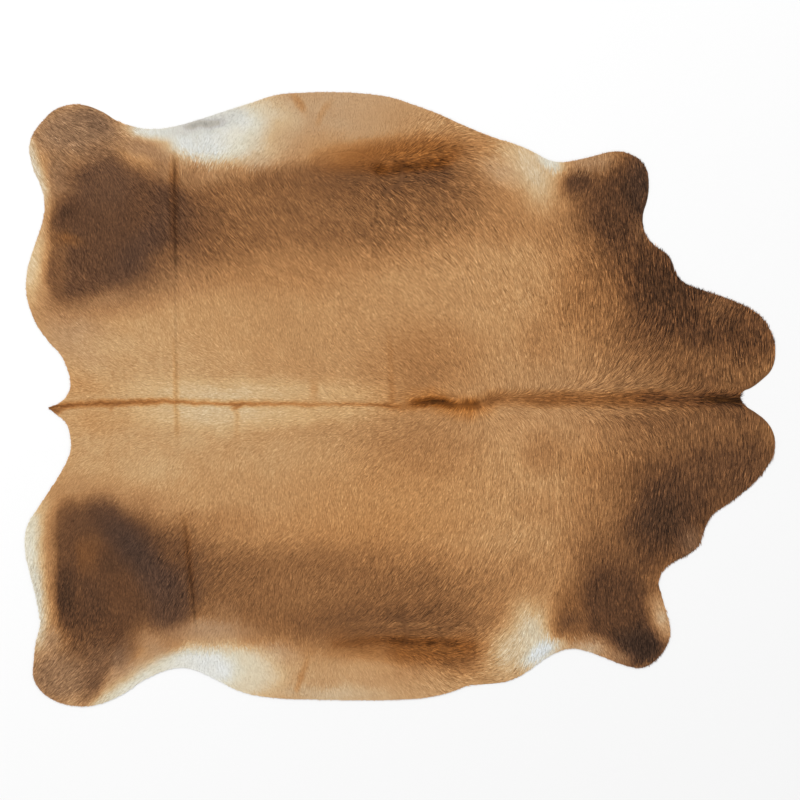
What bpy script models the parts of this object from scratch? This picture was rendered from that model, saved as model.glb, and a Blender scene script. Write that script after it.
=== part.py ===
"""Cowhide rug: one whole tanned hide with its hair left on, lying flat.

Metres, +Z up. X runs from the rump (-X) to the neck (+X) and Y across the flanks. The underside is
flat at z = 0, and the origin is under the middle of the hide's outer size. The tables below are in
millimetres, measured on the hide from that same middle.
"""

import math
from collections import namedtuple

import bmesh
import bpy
from mathutils import Vector
from mathutils.geometry import delaunay_2d_cdt
from mathutils.geometry import interpolate_bezier
from mathutils.kdtree import KDTree

MM = 0.001

# Driving sizes of the hide
HIDE_LENGTH = 2.203
RIM_THICKNESS = 0.0028
BODY_THICKNESS = 0.0052
SPINE_EXTRA = 0.0012
SPINE_REACH = 0.260
RIM_BAND = 0.045
RIM_ROUNDING = 0.007
RIM_ROUND_DROP = 0.0009

# Soft waves of a hide that was stretched to dry
WAVE_HEIGHT = 0.0005
WAVE_LENGTH = 0.310
WAVE_SLANT = 0.55
WAVE_CROSS_SLANT = 0.30

# Mesh spacing, and how near two points may come
OUTLINE_STEP = 0.017
COAT_SPACING = 0.047
UNDERSIDE_SPACING = 0.110
CREASE_STEP = 0.022
FINE_STEPS = 24
RING_GAP = 0.6 * OUTLINE_STEP
RING_CLEARANCE = 0.85 * RIM_ROUNDING
CREASE_GAP = 0.4 * CREASE_STEP
CREASE_TO_RING = 0.5 * CREASE_STEP
CREASE_TO_EDGE = 2.2 * RIM_ROUNDING
COAT_GAP = 0.55 * COAT_SPACING
UNDERSIDE_GAP = 0.5 * UNDERSIDE_SPACING
MERGE_DISTANCE = 1e-6
SHARP_EDGE = math.radians(50)

SMOOTH = "AUTO"
SHARP = "VECTOR"

# The outline, once round clockwise from the tail root, in mm: x, y and how the edge turns there
Knot = namedtuple("Knot", "x y turn", defaults=(SMOOTH,))

OUTLINE = {
    "tail root, upper side": [
        Knot(-1035, -23, SHARP),
        Knot(-994, -7),
        Knot(-970, 27),
        Knot(-967, 47),
        Knot(-976, 88),
    ],
    "upper rump": [
        Knot(-996, 131),
        Knot(-1028, 166),
        Knot(-1059, 208),
        Knot(-1085, 262),
        Knot(-1097, 315),
        Knot(-1094, 379),
        Knot(-1085, 414),
    ],
    "upper hind leg": [
        Knot(-1066, 470),
        Knot(-1048, 526),
        Knot(-1043, 582),
        Knot(-1057, 632),
        Knot(-1075, 671),
        Knot(-1084, 707),
        Knot(-1087, 748),
        Knot(-1075, 783),
        Knot(-1049, 817),
        Knot(-1011, 851),
        Knot(-942, 866),
        Knot(-872, 844),
        Knot(-831, 818),
        Knot(-781, 800),
        Knot(-725, 793),
    ],
    "upper belly": [
        Knot(-657, 802),
        Knot(-593, 820),
        Knot(-516, 845),
        Knot(-440, 869),
        Knot(-364, 893),
        Knot(-282, 900),
        Knot(-167, 901),
        Knot(-85, 895),
        Knot(-27, 886),
        Knot(35, 866),
        Knot(111, 838),
        Knot(188, 803),
        Knot(264, 772),
        Knot(337, 749),
        Knot(387, 728),
    ],
    "upper armpit": [
        Knot(428, 705),
        Knot(466, 696),
        Knot(516, 702),
    ],
    "upper foreleg": [
        Knot(563, 713),
        Knot(631, 728),
        Knot(675, 720),
        Knot(710, 696),
        Knot(725, 669),
        Knot(730, 634),
        Knot(725, 584),
        Knot(714, 549),
        Knot(712, 523),
        Knot(719, 484),
        Knot(746, 451),
        Knot(771, 435),
        Knot(791, 416),
        Knot(803, 383),
        Knot(818, 354),
    ],
    "upper neck": [
        Knot(843, 337),
        Knot(901, 316),
        Knot(969, 292),
        Knot(1024, 267),
        Knot(1062, 238),
        Knot(1091, 188),
        Knot(1101, 141),
        Knot(1090, 88),
        Knot(1063, 59),
        Knot(1023, 30),
    ],
    "neck notch": [
        Knot(1004, 23),
        Knot(996, 10),
        Knot(998, -1),
        Knot(1008, -14),
    ],
    "lower neck": [
        Knot(1042, -37),
        Knot(1075, -64),
        Knot(1096, -99),
        Knot(1100, -134),
        Knot(1085, -181),
        Knot(1029, -252),
        Knot(999, -276),
        Knot(968, -301),
        Knot(914, -340),
        Knot(897, -367),
        Knot(887, -394),
        Knot(878, -424),
        Knot(845, -454),
        Knot(786, -486),
        Knot(766, -508),
    ],
    "lower foreleg": [
        Knot(758, -528),
        Knot(767, -573),
        Knot(781, -624),
        Knot(792, -680),
        Knot(786, -712),
        Knot(756, -758),
        Knot(719, -784),
        Knot(686, -786),
        Knot(642, -774),
        Knot(590, -753),
        Knot(540, -736),
    ],
    "lower armpit": [
        Knot(502, -730),
        Knot(466, -739),
        Knot(416, -765),
    ],
    "lower belly": [
        Knot(378, -794),
        Knot(337, -818),
        Knot(293, -831),
        Knot(243, -836),
        Knot(202, -838),
        Knot(157, -855),
        Knot(85, -873),
        Knot(0, -880),
        Knot(-117, -882),
        Knot(-238, -880),
        Knot(-378, -874),
        Knot(-466, -857),
        Knot(-547, -818),
        Knot(-601, -794),
        Knot(-642, -786),
    ],
    "lower hind leg": [
        Knot(-704, -800),
        Knot(-754, -824),
        Knot(-801, -856),
        Knot(-845, -879),
        Knot(-892, -896),
        Knot(-936, -900),
        Knot(-983, -894),
        Knot(-1027, -876),
        Knot(-1059, -849),
        Knot(-1077, -812),
        Knot(-1075, -771),
        Knot(-1068, -709),
        Knot(-1056, -659),
        Knot(-1060, -624),
        Knot(-1071, -568),
        Knot(-1091, -492),
        Knot(-1101, -437),
        Knot(-1100, -395),
    ],
    "lower rump": [
        Knot(-1088, -357),
        Knot(-1066, -323),
        Knot(-1032, -271),
        Knot(-1006, -231),
        Knot(-982, -189),
        Knot(-967, -149),
    ],
    "tail root, lower side": [
        Knot(-969, -104),
        Knot(-982, -66),
        Knot(-1010, -43),
    ],
}

# Creases and rolls in the hide: height in mm (a trough is below 0), half width and route in mm.
# Each fades out over its ends, and the three lengths of the spine overlap by that much.
CREASE_FADE = 0.070
CREASE_STEEPNESS = 1.5
Crease = namedtuple("Crease", "name height half_width route")

CREASES = [
    Crease("spine over the rump", -1.0, 9,
           [(-1010, -20), (-880, -13), (-740, -3), (-560, -14), (-340, -14), (30, -18)]),
    Crease("spine over the back", -1.5, 14,
           [(-40, -16), (65, -9), (110, -9), (165, -19), (225, -19), (270, -4), (400, 5)]),
    Crease("spine over the neck", -1.1, 19,
           [(330, 1), (515, 6), (660, -3), (760, 3), (850, 1), (915, 4), (985, 4)]),
    Crease("fold, upper flank", -1.2, 12,
           [(-655, 755), (-657, 500), (-660, 260), (-652, 40)]),
    Crease("fold, below the spine", -0.6, 12,
           [(-655, -35), (-650, -110), (-640, -260)]),
    Crease("fold, lower flank", -1.1, 12,
           [(-632, -330), (-617, -480), (-605, -600), (-600, -720)]),
    Crease("upper whorl", -1.6, 18,
           [(-230, 672), (-110, 682), (-20, 684), (100, 690), (175, 730)]),
    Crease("lower whorl", -1.6, 18,
           [(-205, -710), (-90, -714), (20, -712), (100, -716), (230, -762)]),
    Crease("fold, upper belly", -0.7, 14,
           [(-304, 885), (-276, 760)]),
    Crease("fold, lower belly", -0.7, 14,
           [(-264, -730), (-302, -868)]),
    Crease("roll inside the upper whorl", 1.0, 30,
           [(-260, 628), (-60, 636), (140, 644)]),
    Crease("roll inside the lower whorl", 1.0, 30,
           [(-240, -668), (-60, -662), (140, -666)]),
]

HAIR_TAN = (0.48, 0.29, 0.13, 1.0)
HAIR_ROUGHNESS = 0.72


def outline_curve(collection):
    """The cut edge of the hide, as one closed flat curve through its knots."""
    data = bpy.data.curves.new("hide_outline", "CURVE")
    data.dimensions = "2D"
    spline = data.splines.new("BEZIER")
    knots = [knot for stretch in OUTLINE.values() for knot in stretch]
    spline.bezier_points.add(len(knots) - 1)
    spline.use_cyclic_u = True
    for point, knot in zip(spline.bezier_points, knots):
        point.co = (knot.x * MM, knot.y * MM, 0.0)
        point.handle_left_type = point.handle_right_type = knot.turn
    curve = bpy.data.objects.new("hide_outline", data)
    collection.objects.link(curve)
    curve.display_type = "WIRE"
    curve.hide_render = True
    bpy.context.view_layer.update()
    return curve


def even_points(path, step):
    """Points along a path of straight bits, as near to step apart as divides it evenly."""
    lengths = [(b - a).length for a, b in zip(path, path[1:])]
    count = max(2, round(sum(lengths) / step))
    spacing = sum(lengths) / count
    points, run, leg = [path[0]], 0.0, 0
    for i in range(1, count):
        while run + lengths[leg] < i * spacing:
            run += lengths[leg]
            leg += 1
        share = (i * spacing - run) / lengths[leg]
        points.append(path[leg].lerp(path[leg + 1], share))
    return points + [path[-1]]


def outline_points(curve):
    """The outline as evenly spaced 2D points, anticlockwise, keeping each sharp knot as a point."""
    knots = curve.data.splines[0].bezier_points
    points, stretch = [], []
    for start, end in zip(knots, knots[1:] + knots[:1]):
        handles = (start.handle_right, end.handle_left)
        stretch += interpolate_bezier(start.co, *handles, end.co, FINE_STEPS)[:-1]
        if end.handle_left_type == SHARP:
            points += even_points(stretch + [end.co.copy()], OUTLINE_STEP)[:-1]
            stretch = []
    low = Vector((min(p.x for p in points), min(p.y for p in points)))
    high = Vector((max(p.x for p in points), max(p.y for p in points)))
    scale = HIDE_LENGTH / (high.x - low.x)
    centred = [(p.to_2d() - (low + high) / 2) * scale for p in points]
    return centred[::-1]


def smooth_route(route):
    """A crease's route as a smooth 2D line through its few points."""
    points = [Vector(p) * MM for p in route]
    ghosts = [2 * points[0] - points[1], *points, 2 * points[-1] - points[-2]]
    line = []
    for before, a, b, after in zip(ghosts, ghosts[1:], ghosts[2:], ghosts[3:]):
        handles = (a + (b - before) / 6, b - (after - a) / 6)
        line += interpolate_bezier(a, *handles, b, FINE_STEPS)[:-1]
    line.append(points[-1])
    return even_points(line, CREASE_STEP)


def is_inside(point, outline):
    """True where a point lies inside the outline, by counting crossings to its right."""
    inside = False
    for a, b in zip(outline, outline[1:] + outline[:1]):
        if (a.y > point.y) != (b.y > point.y):
            if point.x < a.x + (b.x - a.x) * (point.y - a.y) / (b.y - a.y):
                inside = not inside
    return inside


def tree_of(points):
    """A search tree over 2D points."""
    tree = KDTree(len(points))
    for i, point in enumerate(points):
        tree.insert(point.to_3d(), i)
    tree.balance()
    return tree


def lattice(spacing, outline):
    """Points of a triangular lattice over the outline's own box."""
    low_x, high_x = min(p.x for p in outline), max(p.x for p in outline)
    low_y, high_y = min(p.y for p in outline), max(p.y for p in outline)
    row_height = spacing * math.sqrt(3) / 2
    points = []
    for row in range(int((high_y - low_y) / row_height) + 1):
        shift = spacing / 2 if row % 2 else 0.0
        for column in range(int((high_x - low_x) / spacing) + 1):
            points.append(Vector((low_x + shift + column * spacing, low_y + row * row_height)))
    return points


def clear_points(points, outline, to_edge, others=(), to_others=0.0):
    """The points that lie inside the outline, clear of it and of some other points."""
    edge = tree_of(outline)
    taken = tree_of(others)
    clear = []
    for point in points:
        if not is_inside(point, outline) or edge.find(point.to_3d())[2] < to_edge:
            continue
        if not others or taken.find(point.to_3d())[2] >= to_others:
            clear.append(point)
    return clear


def spread_out(points, gap):
    """The points in turn, without those nearer than gap to one already taken."""
    cells, taken = {}, []
    for point in points:
        column, row = round(point.x / gap), round(point.y / gap)
        around = [(column + i, row + j) for i in (-1, 0, 1) for j in (-1, 0, 1)]
        near = [other for cell in around for other in cells.get(cell, [])]
        if all((point - other).length >= gap for other in near):
            cells.setdefault((column, row), []).append(point)
            taken.append(point)
    return taken


def inner_ring(outline):
    """Points just inside the outline, where the cut edge has rounded up to the coat."""
    ring = []
    for i, point in enumerate(outline):
        along = (outline[(i + 1) % len(outline)] - outline[i - 1]).normalized()
        ring.append(point + Vector((-along.y, along.x)) * RIM_ROUNDING)
    return spread_out(clear_points(ring, outline, RING_CLEARANCE), RING_GAP)


def crease_points(lines):
    """Points on each crease's line and on both its shoulders."""
    points = []
    for crease, line in zip(CREASES, lines):
        for i, point in enumerate(line):
            along = (line[min(i + 1, len(line) - 1)] - line[max(i - 1, 0)]).normalized()
            shoulder = Vector((-along.y, along.x)) * crease.half_width * MM
            points += [point, point + shoulder, point - shoulder]
    return spread_out(points, CREASE_GAP)


def smoothstep(share):
    share = min(1.0, max(0.0, share))
    return share * share * (3 - 2 * share)


def crease_share(point, line, half_width):
    """How much of a crease's height a 2D point feels: all on its line, none beside or past it."""
    nearest, run, at_run = math.inf, 0.0, 0.0
    for a, b in zip(line, line[1:]):
        leg = b - a
        share = min(1.0, max(0.0, (point - a).dot(leg) / leg.length_squared))
        away = (point - a - leg * share).length
        if away < nearest:
            nearest, at_run = away, run + leg.length * share
        run += leg.length
    to_end = min(at_run, run - at_run)
    return math.exp(-CREASE_STEEPNESS * (nearest / half_width) ** 2) * smoothstep(to_end / CREASE_FADE)


def surface_height(point, edge, lines):
    """Height of the lying coat above the floor at a 2D point of the hide."""
    settled = smoothstep(edge.find(point.to_3d())[2] / RIM_BAND)
    turn = 2 * math.pi / WAVE_LENGTH
    relief = WAVE_HEIGHT * math.sin(turn * (point.x + WAVE_SLANT * point.y))
    relief *= math.cos(turn * (point.y - WAVE_CROSS_SLANT * point.x))
    relief += SPINE_EXTRA * math.exp(-((point.y / SPINE_REACH) ** 2))
    for crease, line in zip(CREASES, lines):
        relief += crease.height * MM * crease_share(point, line, crease.half_width * MM)
    return RIM_THICKNESS + (BODY_THICKNESS - RIM_THICKNESS + relief) * settled


def add_flat_side(bm, outline, inner, facing_up):
    """Triangles that fill the outline through its inner points. Returns all their vertices, rim first."""
    border = list(range(len(outline)))
    inside_only = 1
    filled = delaunay_2d_cdt(outline + inner, [], [border], inside_only, MERGE_DISTANCE)
    points, _, faces, sources, _, _ = filled
    verts = [bm.verts.new((p.x, p.y, 0.0)) for p in points]
    for corners in faces:
        bm.faces.new([verts[i] for i in (corners if facing_up else reversed(corners))])
    rank = {i: min(found) for i, found in enumerate(sources)}
    return [verts[i] for i in sorted(rank, key=rank.get)]


def hide_mesh(outline):
    """The hide as one closed slab: a flat underside, a low cut rim and an uneven coat side."""
    lines = [smooth_route(crease.route) for crease in CREASES]
    inner = inner_ring(outline)
    inner += clear_points(crease_points(lines), outline, CREASE_TO_EDGE, inner, CREASE_TO_RING)
    inner += clear_points(lattice(COAT_SPACING, outline), outline, COAT_GAP, inner, COAT_GAP)
    under = clear_points(lattice(UNDERSIDE_SPACING, outline), outline, UNDERSIDE_GAP)

    bm = bmesh.new()
    edge = tree_of(outline)
    coat = add_flat_side(bm, outline, inner, facing_up=True)
    for i, vert in enumerate(coat):
        vert.co.z = surface_height(vert.co.to_2d(), edge, lines)
        if i < len(outline):
            vert.co.z -= RIM_ROUND_DROP
    add_flat_side(bm, outline, under, facing_up=False)
    bmesh.ops.bridge_loops(bm, edges=[e for e in bm.edges if e.is_boundary])
    bmesh.ops.triangulate(bm, faces=[f for f in bm.faces if len(f.verts) > 3])
    bmesh.ops.recalc_face_normals(bm, faces=bm.faces)
    mesh = bpy.data.meshes.new("hide")
    bm.to_mesh(mesh)
    bm.free()
    return mesh


def coat_material():
    """Short lying cow hair, at the colour of the middle of the back."""
    material = bpy.data.materials.new("hair_on_leather")
    material.use_nodes = True
    shader = material.node_tree.nodes["Principled BSDF"]
    shader.inputs["Base Color"].default_value = HAIR_TAN
    shader.inputs["Roughness"].default_value = HAIR_ROUGHNESS
    shader.inputs["Metallic"].default_value = 0.0
    return material


def new_collection(name):
    collection = bpy.data.collections.new(name)
    bpy.context.scene.collection.children.link(collection)
    return collection


def main():
    for old in list(bpy.data.objects):
        bpy.data.objects.remove(old)
    parts = new_collection("cowhide_rug")
    guides = new_collection("guides")
    outline = outline_points(outline_curve(guides))
    mesh = hide_mesh(outline)
    mesh.materials.append(coat_material())
    mesh.shade_smooth()
    mesh.set_sharp_from_angle(angle=SHARP_EDGE)
    hide = bpy.data.objects.new("hide", mesh)
    parts.objects.link(hide)


main()
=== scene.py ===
"""A cowhide rug with its hair left on: the tanned skin, and the short coat that is combed over it."""
import functools
import math
from collections import Counter, namedtuple

import bpy
import numpy as np
from mathutils.bvhtree import BVHTree
from mathutils.geometry import delaunay_2d_cdt
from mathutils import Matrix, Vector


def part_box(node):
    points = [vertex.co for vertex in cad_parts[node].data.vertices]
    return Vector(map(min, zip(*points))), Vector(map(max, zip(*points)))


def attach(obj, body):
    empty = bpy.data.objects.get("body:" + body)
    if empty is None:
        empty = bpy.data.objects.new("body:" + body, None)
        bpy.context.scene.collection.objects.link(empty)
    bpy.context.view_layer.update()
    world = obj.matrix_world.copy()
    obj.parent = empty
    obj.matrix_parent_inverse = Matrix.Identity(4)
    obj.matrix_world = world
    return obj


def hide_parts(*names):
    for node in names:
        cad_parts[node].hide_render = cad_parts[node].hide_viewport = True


bl_info = {
    "name": "Cowhide rug",
    "version": (1, 0, 0),
    "blender": (4, 5, 0),
    "location": "View3D > Sidebar > Cowhide",
    "description": "Makes a flat hair-on cowhide with its skin, combed coat and studio",
    "category": "Object",
}

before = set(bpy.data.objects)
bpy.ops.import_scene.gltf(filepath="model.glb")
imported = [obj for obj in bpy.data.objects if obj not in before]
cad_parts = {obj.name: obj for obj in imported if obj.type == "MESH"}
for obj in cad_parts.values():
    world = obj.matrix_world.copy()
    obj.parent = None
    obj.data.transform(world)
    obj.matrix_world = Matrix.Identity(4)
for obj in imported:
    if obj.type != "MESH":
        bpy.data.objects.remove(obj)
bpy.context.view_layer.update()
CAD_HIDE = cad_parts["hide"]

# Marks are placed on a plan 800 units square, x to the right and y down from its top left corner.
PLAN_UNIT = 0.0029333
PLAN_MIDDLE = (400.05, 399.2)

Wash = namedtuple("Wash", "x y half_length half_width turn tone warmth hold soft name")
Stroke = namedtuple("Stroke", "name half_width soft tone warmth route")
Lie = namedtuple("Lie", "x y turn")
Vigour = namedtuple("Vigour", "x y contrast length name")
Bend = namedtuple("Bend", "x above below")
Fold = namedtuple("Fold", "x y end_x end_y half_width dark name")


def rows(kind, *table):
    """The table's rows, each with its columns named."""
    return [kind(*row) for row in table]


# Soft patches of the coat, laid one over the other. Tone runs from 0, black, to 1, white.
WASHES = rows(
    Wash,
    #  x    y    hl   hw  turn   tone  warm  hold  soft  name
    (130, 400, 130,  95,   0, 0.635,     0,   1,  0.6, "pale rump"),
    ( 72, 333,  32,  22, -20,  0.58,  -0.5, 0.8,  0.9, "greyish edge of the rump"),
    (150, 421,  12,   8,   0,  0.59,     0, 0.4,  0.9, "tan hair beside the tail root"),
    (190, 441,  13,   8,   0,   0.7,     0, 0.4,  0.9, "pale hair on the lower rump"),
    (245, 391, 135,  12,   0, 0.715,   0.2, 0.8,  0.9, "pale hair above the spine"),
    (258, 413, 135,  12,   0,  0.71,   0.3, 0.8,  0.9, "pale hair below the spine"),
    (212, 408,  50,  19,   0,  0.76,   0.1, 0.6,  0.9, "palest hair beside the spine"),
    (388, 397,  46,  12,   0,  0.66,   0.3, 0.8,  0.9, "light hair above the smear"),
    ( 82, 388,  30,  12,   0,   0.6,   0.2, 0.7,  0.9, "tan hair over the tail's root"),
    (285, 455,  60,  20,   0,  0.63,     0, 0.8,  0.9, "pale lower loin"),
    (428, 368,  46,  36,   0,   0.5,   0.1,   1,  0.9, "darker middle, above the spine"),
    (425, 446,  48,  34,   0,  0.52,     0, 0.9,  0.9, "darker middle, below the spine"),
    (690, 400, 200,  92,  90,  0.33,   0.1,   1,  0.5, "shoulders and neck"),
    (592, 288,  46,  32,  60, 0.415,   0.2, 0.8,  0.9, "upper shoulder"),
    (597, 530,  42,  32,  90,  0.43,     0, 0.7,  0.9, "lower shoulder"),
    (622, 402, 120,  44,   0,  0.54,  -0.2, 0.8,  0.9, "lighter hair beside the neck's spine"),
    (702, 400,  62,  11,   0,  0.33,   0.3, 0.7,  0.9, "darker hair along the neck's spine"),
    (686, 374,  28,  13, -10,  0.35,   0.1, 0.7,  0.9, "dark hair above the neck's spine"),
    (711, 381,  12,   8,   0,  0.31,     0, 0.5,  0.9, "darker hair beside the neck's notch"),
    (670, 424,  46,  12,   0, 0.345,     0, 0.7,  0.9, "dark hair below the neck's spine"),
    (540, 345,  22,  20,   0,   0.5,     0, 0.8,  0.9, "darker spot above the spine"),
    (548, 454,  20,  16,   0,  0.47,     0, 0.8,  0.9, "darker spot below the spine"),
    (592, 462,  20,  12,   0,  0.47,   0.2, 0.6,  0.9, "brown hair behind the lower shoulder"),
    (542, 508,  20,  15,   0,  0.51,     0, 0.6,  0.9, "brown hair over the lower elbow"),
    (671, 290,  52,  34, -45,  0.22,   0.3,   1,  0.7, "upper shoulder's dark edge"),
    (664, 516,  46,  31,  50,  0.23,     0,   1,  0.7, "lower shoulder's dark edge"),
    (735, 330,  50,  24, -20, 0.285,   0.2, 0.9,  0.6, "upper lobe of the neck"),
    (716, 306,  15,  12, -20,  0.41,  -0.2, 0.5,  0.9, "lighter hair on the neck's upper lobe"),
    (700, 330,  16,  12, -30,  0.24,   0.2, 0.7,  0.9, "dark hair inside the upper lobe"),
    (692, 543,  14,   9,  50,  0.36,  -0.4, 0.7,  0.9, "lighter edge of the lower shoulder"),
    (730, 470,  52,  30,  14,   0.3,     0, 0.9,  0.6, "lower lobe of the neck"),
    (690, 541,  13,  10,   0,  0.42,  -1.2, 0.5,  0.9, "greyish hair on the lower neck"),
    (742, 414,  28,  11,   0,  0.31,     0, 0.7,  0.9, "dark hair under the neck's notch"),
    (318, 207, 170,  54,   3, 0.415,     0,   1,  0.5, "brown upper flank"),
    (375, 180,  85,  18,   0, 0.355,   0.1, 0.9,  0.8, "darker hair by the upper whorl"),
    (330, 597, 170,  54,  -2, 0.415,   0.1,   1,  0.5, "brown lower flank"),
    (385, 622,  80,  18,   0,  0.35,   0.1, 0.9,  0.8, "darker hair by the lower whorl"),
    (318, 118, 110,  36,  10, 0.618,  -0.5,   1,  0.4, "pale upper belly"),
    (420, 118,  48,  24,   0, 0.575,  -0.1, 0.6,  0.9, "darker end of the upper belly"),
    (345, 690, 120,  29,  -7, 0.612,  -0.2,   1,  0.5, "pale lower belly"),
    (325, 149,  42,  13,   0,  0.55,   0.1, 0.6,  0.9, "tan hair over the upper whorl"),
    (418, 150,  50,  13,   4,  0.43,   0.5, 0.9,  0.9, "brown over the upper whorl"),
    (440, 652,  46,  15,  -8,  0.37,   0.4, 0.9,  0.9, "brown under the lower whorl"),
    (452, 206,  26,  16,   0, 0.385,     0, 0.7,  0.9, "brown behind the upper elbow"),
    (430, 174,  22,   9,   0,  0.29,   0.1, 0.7,  0.9, "dark hair beside the upper whorl"),
    (463, 160,  14,   9,   0,  0.42,   0.1, 0.6,  0.9, "brown hair before the upper elbow"),
    (411, 672,  26,   9,   5,  0.51,  -0.1, 0.7,  0.9, "brown hair under the lower whorl"),
    (220, 521,  36,  12,   0,   0.5,     0, 0.7,  0.9, "brown top of the lower flank"),
    (285, 272,  62,  20,   0,   0.5,     0, 0.7,  0.9, "brown under the upper flank"),
    (506, 226,  30,  16,   0,  0.47,     0, 0.6,  0.9, "brown behind the upper armpit"),
    (345, 526,  90,  14,   0,  0.53,   0.2, 0.5,  0.9, "brown above the lower flank"),
    (300, 582,  50,  24,   0,  0.46,     0, 0.4,  0.9, "lighter hair on the lower flank"),
    (400, 505,  80,  46,   0, 0.555,   0.9, 0.3,  0.9, "warmer hair on the lower back"),
    (536, 573,  38,  20,   0,  0.49,     0, 0.6,  0.9, "brown behind the lower foreleg"),
    (604, 547,  34,  15,   0,  0.36,     0, 0.6,  0.9, "brown hair above the lower foreleg"),
    ( 96, 420,  30,  12,   0,   0.6,   0.2, 0.7,  0.9, "light hair under the tail's root"),
    # upper hind leg
    (212, 228,  55,  44,  25,  0.41,     0,   1,  0.6, "brown before the upper patch"),
    (192, 222,  26,  30,   0,  0.32,     0, 0.9,  0.8, "darker brown by the fold"),
    (112, 290,  78,  21,   9,  0.46,  -0.3,   1,  0.8, "soft lower edge of the upper patch"),
    (128, 270,  52,  19,  14, 0.355,  -0.3, 0.9,  0.8, "darker lower edge of the upper patch"),
    (118, 226,  67,  52,  10,   0.3,  -0.2,   1, 0.32, "upper patch"),
    (102, 182,  34,  26,   0, 0.315,  -0.4,   1,  0.5, "top of the upper patch"),
    ( 79, 273,  31,  29,   0, 0.305,  -0.2,   1, 0.35, "lower end of the upper patch"),
    (160, 257,  14,   9,   0,  0.43,     0, 0.5,  0.9, "tan hair under the near upper patch"),
    ( 99, 298,  22,   8,  10,  0.53,  -0.3, 0.8,  0.9, "brown under the upper patch"),
    (108, 344,  24,   9,   0,  0.66,     0, 0.7,  0.9, "tan under the upper patch"),
    (158, 213,  32,  34,   0,   0.3,  -0.1,   1,  0.4, "near end of the upper patch"),
    (106, 166,  14,   9,  20,  0.32,  -0.5, 0.9,  0.8, "dark tongue of the upper patch"),
    ( 76, 130,  44,  25,   0,  0.47, -0.85,   1,  0.5, "upper hock"),
    ( 60, 176,  12,  27,   0,  0.44,  -0.7, 0.9,  0.8, "side of the upper hind leg"),
    ( 97, 122,  16,   9, -30,  0.41,    -1, 0.8,  0.9, "dark hair on the upper hock"),
    ( 98, 152,  18,   9,  20,   0.4,  -0.6, 0.8,  0.9, "darker hair under the upper hock"),
    ( 71, 181,   9,  10,   0,  0.33,  -0.3, 0.5,  0.9, "dark hair beside the upper hind leg"),
    (150, 152,  30,   9, -22,  0.52,  -0.6,   1,  0.6, "tan beside the upper hock"),
    (198, 174,  36,  12,   2, 0.535,  -0.4, 0.9,  0.8, "tan below the upper white"),
    (190, 181,  13,   9,   0,  0.43,  -0.2, 0.6,  0.9, "brown hair by the upper fold"),
    (160, 171,  11,   8,   0,  0.43,  -0.4, 0.6,  0.9, "brown hair before the upper fold"),
    (280, 180,  27,  13,   0, 0.385,     0, 0.7,  0.9, "brown hair before the upper whorl"),
    # lower hind leg
    (212, 580,  52,  36, -35,   0.4,     0,   1,  0.7, "brown before the lower patch"),
    (188, 540,  24,  17, -70,  0.42,     0, 0.8,  0.8, "brown above the lower fold"),
    (112, 503,  54,  15, -10,  0.49,  -0.2, 0.7,  0.9, "soft upper edge of the lower patch"),
    ( 78, 484,  16,  10, -30,  0.58,  -0.1, 0.6,  0.9, "tan hair over the lower patch"),
    (152, 471,  28,  13,   0, 0.665,     0, 0.6,  0.9, "pale hair over the lower patch"),
    (124, 566,  74,  50, -12,  0.29,  -0.1,   1, 0.35, "lower patch"),
    ( 94, 526,  38,  25,  -6,  0.31,  -0.1,   1,  0.5, "upper end of the lower patch"),
    (163, 599,  30,  32,   0,  0.29,  -0.4,   1,  0.5, "near end of the lower patch"),
    (103, 629,  40,  29,  10,   0.3,   0.1,   1,  0.5, "lower end of the lower patch"),
    ( 86, 607,  20,  15,   0, 0.245,     0, 0.8,  0.9, "dark lower middle of the lower patch"),
    ( 84, 558,  22,  17,   0, 0.345,   0.4, 0.9,  0.8, "warm hair on the lower patch"),
    (122, 592,  30,  14, -35, 0.305,   0.2, 0.8,  0.9, "warm hair across the lower patch"),
    (178, 607,  11,  14,   0,  0.35,   0.3, 0.5,  0.9, "brown hair at the lower fold's end"),
    (170, 557,  12,  12,   0,  0.37,   0.2, 0.5,  0.9, "brown hair over the near lower patch"),
    (110, 562,  10,  12,   0, 0.235,     0, 0.5,  0.9, "dark hair inside the lower patch"),
    ( 50, 560,   9,  14,   0,  0.56,  -0.1, 0.5,  0.9, "tan hair at the lower leg's edge"),
    ( 62, 676,  32,  24, -15, 0.475,  -0.7,   1,  0.5, "lower hock"),
    ( 92, 668,  26,  12,  80, 0.375,  -0.6, 0.9,  0.9, "brown hair on the lower hock"),
    ( 77, 652,  14,   9,   0,  0.36,  -0.3, 0.7,  0.9, "brown hair over the lower hock"),
    (120, 659,  17,   9,  60, 0.375,    -1, 0.8,  0.9, "brown hair inside the lower hock"),
    (213, 632,  38,  11,   0,  0.56,  -0.8, 0.9,  0.8, "tan above the lower white"),
    (158, 648,  22,   9, -30,  0.54,  -0.9, 0.6,  0.9, "tan hair beside the lower patch"),
    (134, 669,  27,   8,  28,  0.59,    -1, 0.6,  0.9, "greyish tan hair along the lower rim"),
    ( 50, 640,   9,  10,   0,  0.53,    -1, 0.6,  0.9, "brown hair on the lower hock's outer edge"),
    (224, 612,  16,   9, -20,  0.46,  -0.2, 0.8,  0.9, "tuft above the lower white"),
    # forelegs
    (562, 225,  30,  26,  80,  0.46,     0, 0.7,  0.9, "brown behind the upper foreleg"),
    (623, 209,  54,  42,  82,  0.27,   0.1,   1,  0.5, "upper foreleg"),
    (577, 183,  17,  15,  30,  0.25,     0, 0.9, 0.55, "dark spot by the upper armpit"),
    (592, 160,  20,   9,   8,  0.54,  -0.7, 0.8,  0.8, "tan end of the upper foreleg"),
    (640, 181,  14,  26,   0,  0.21,  -0.2, 0.9,  0.9, "dark end of the upper foreleg"),
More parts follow.
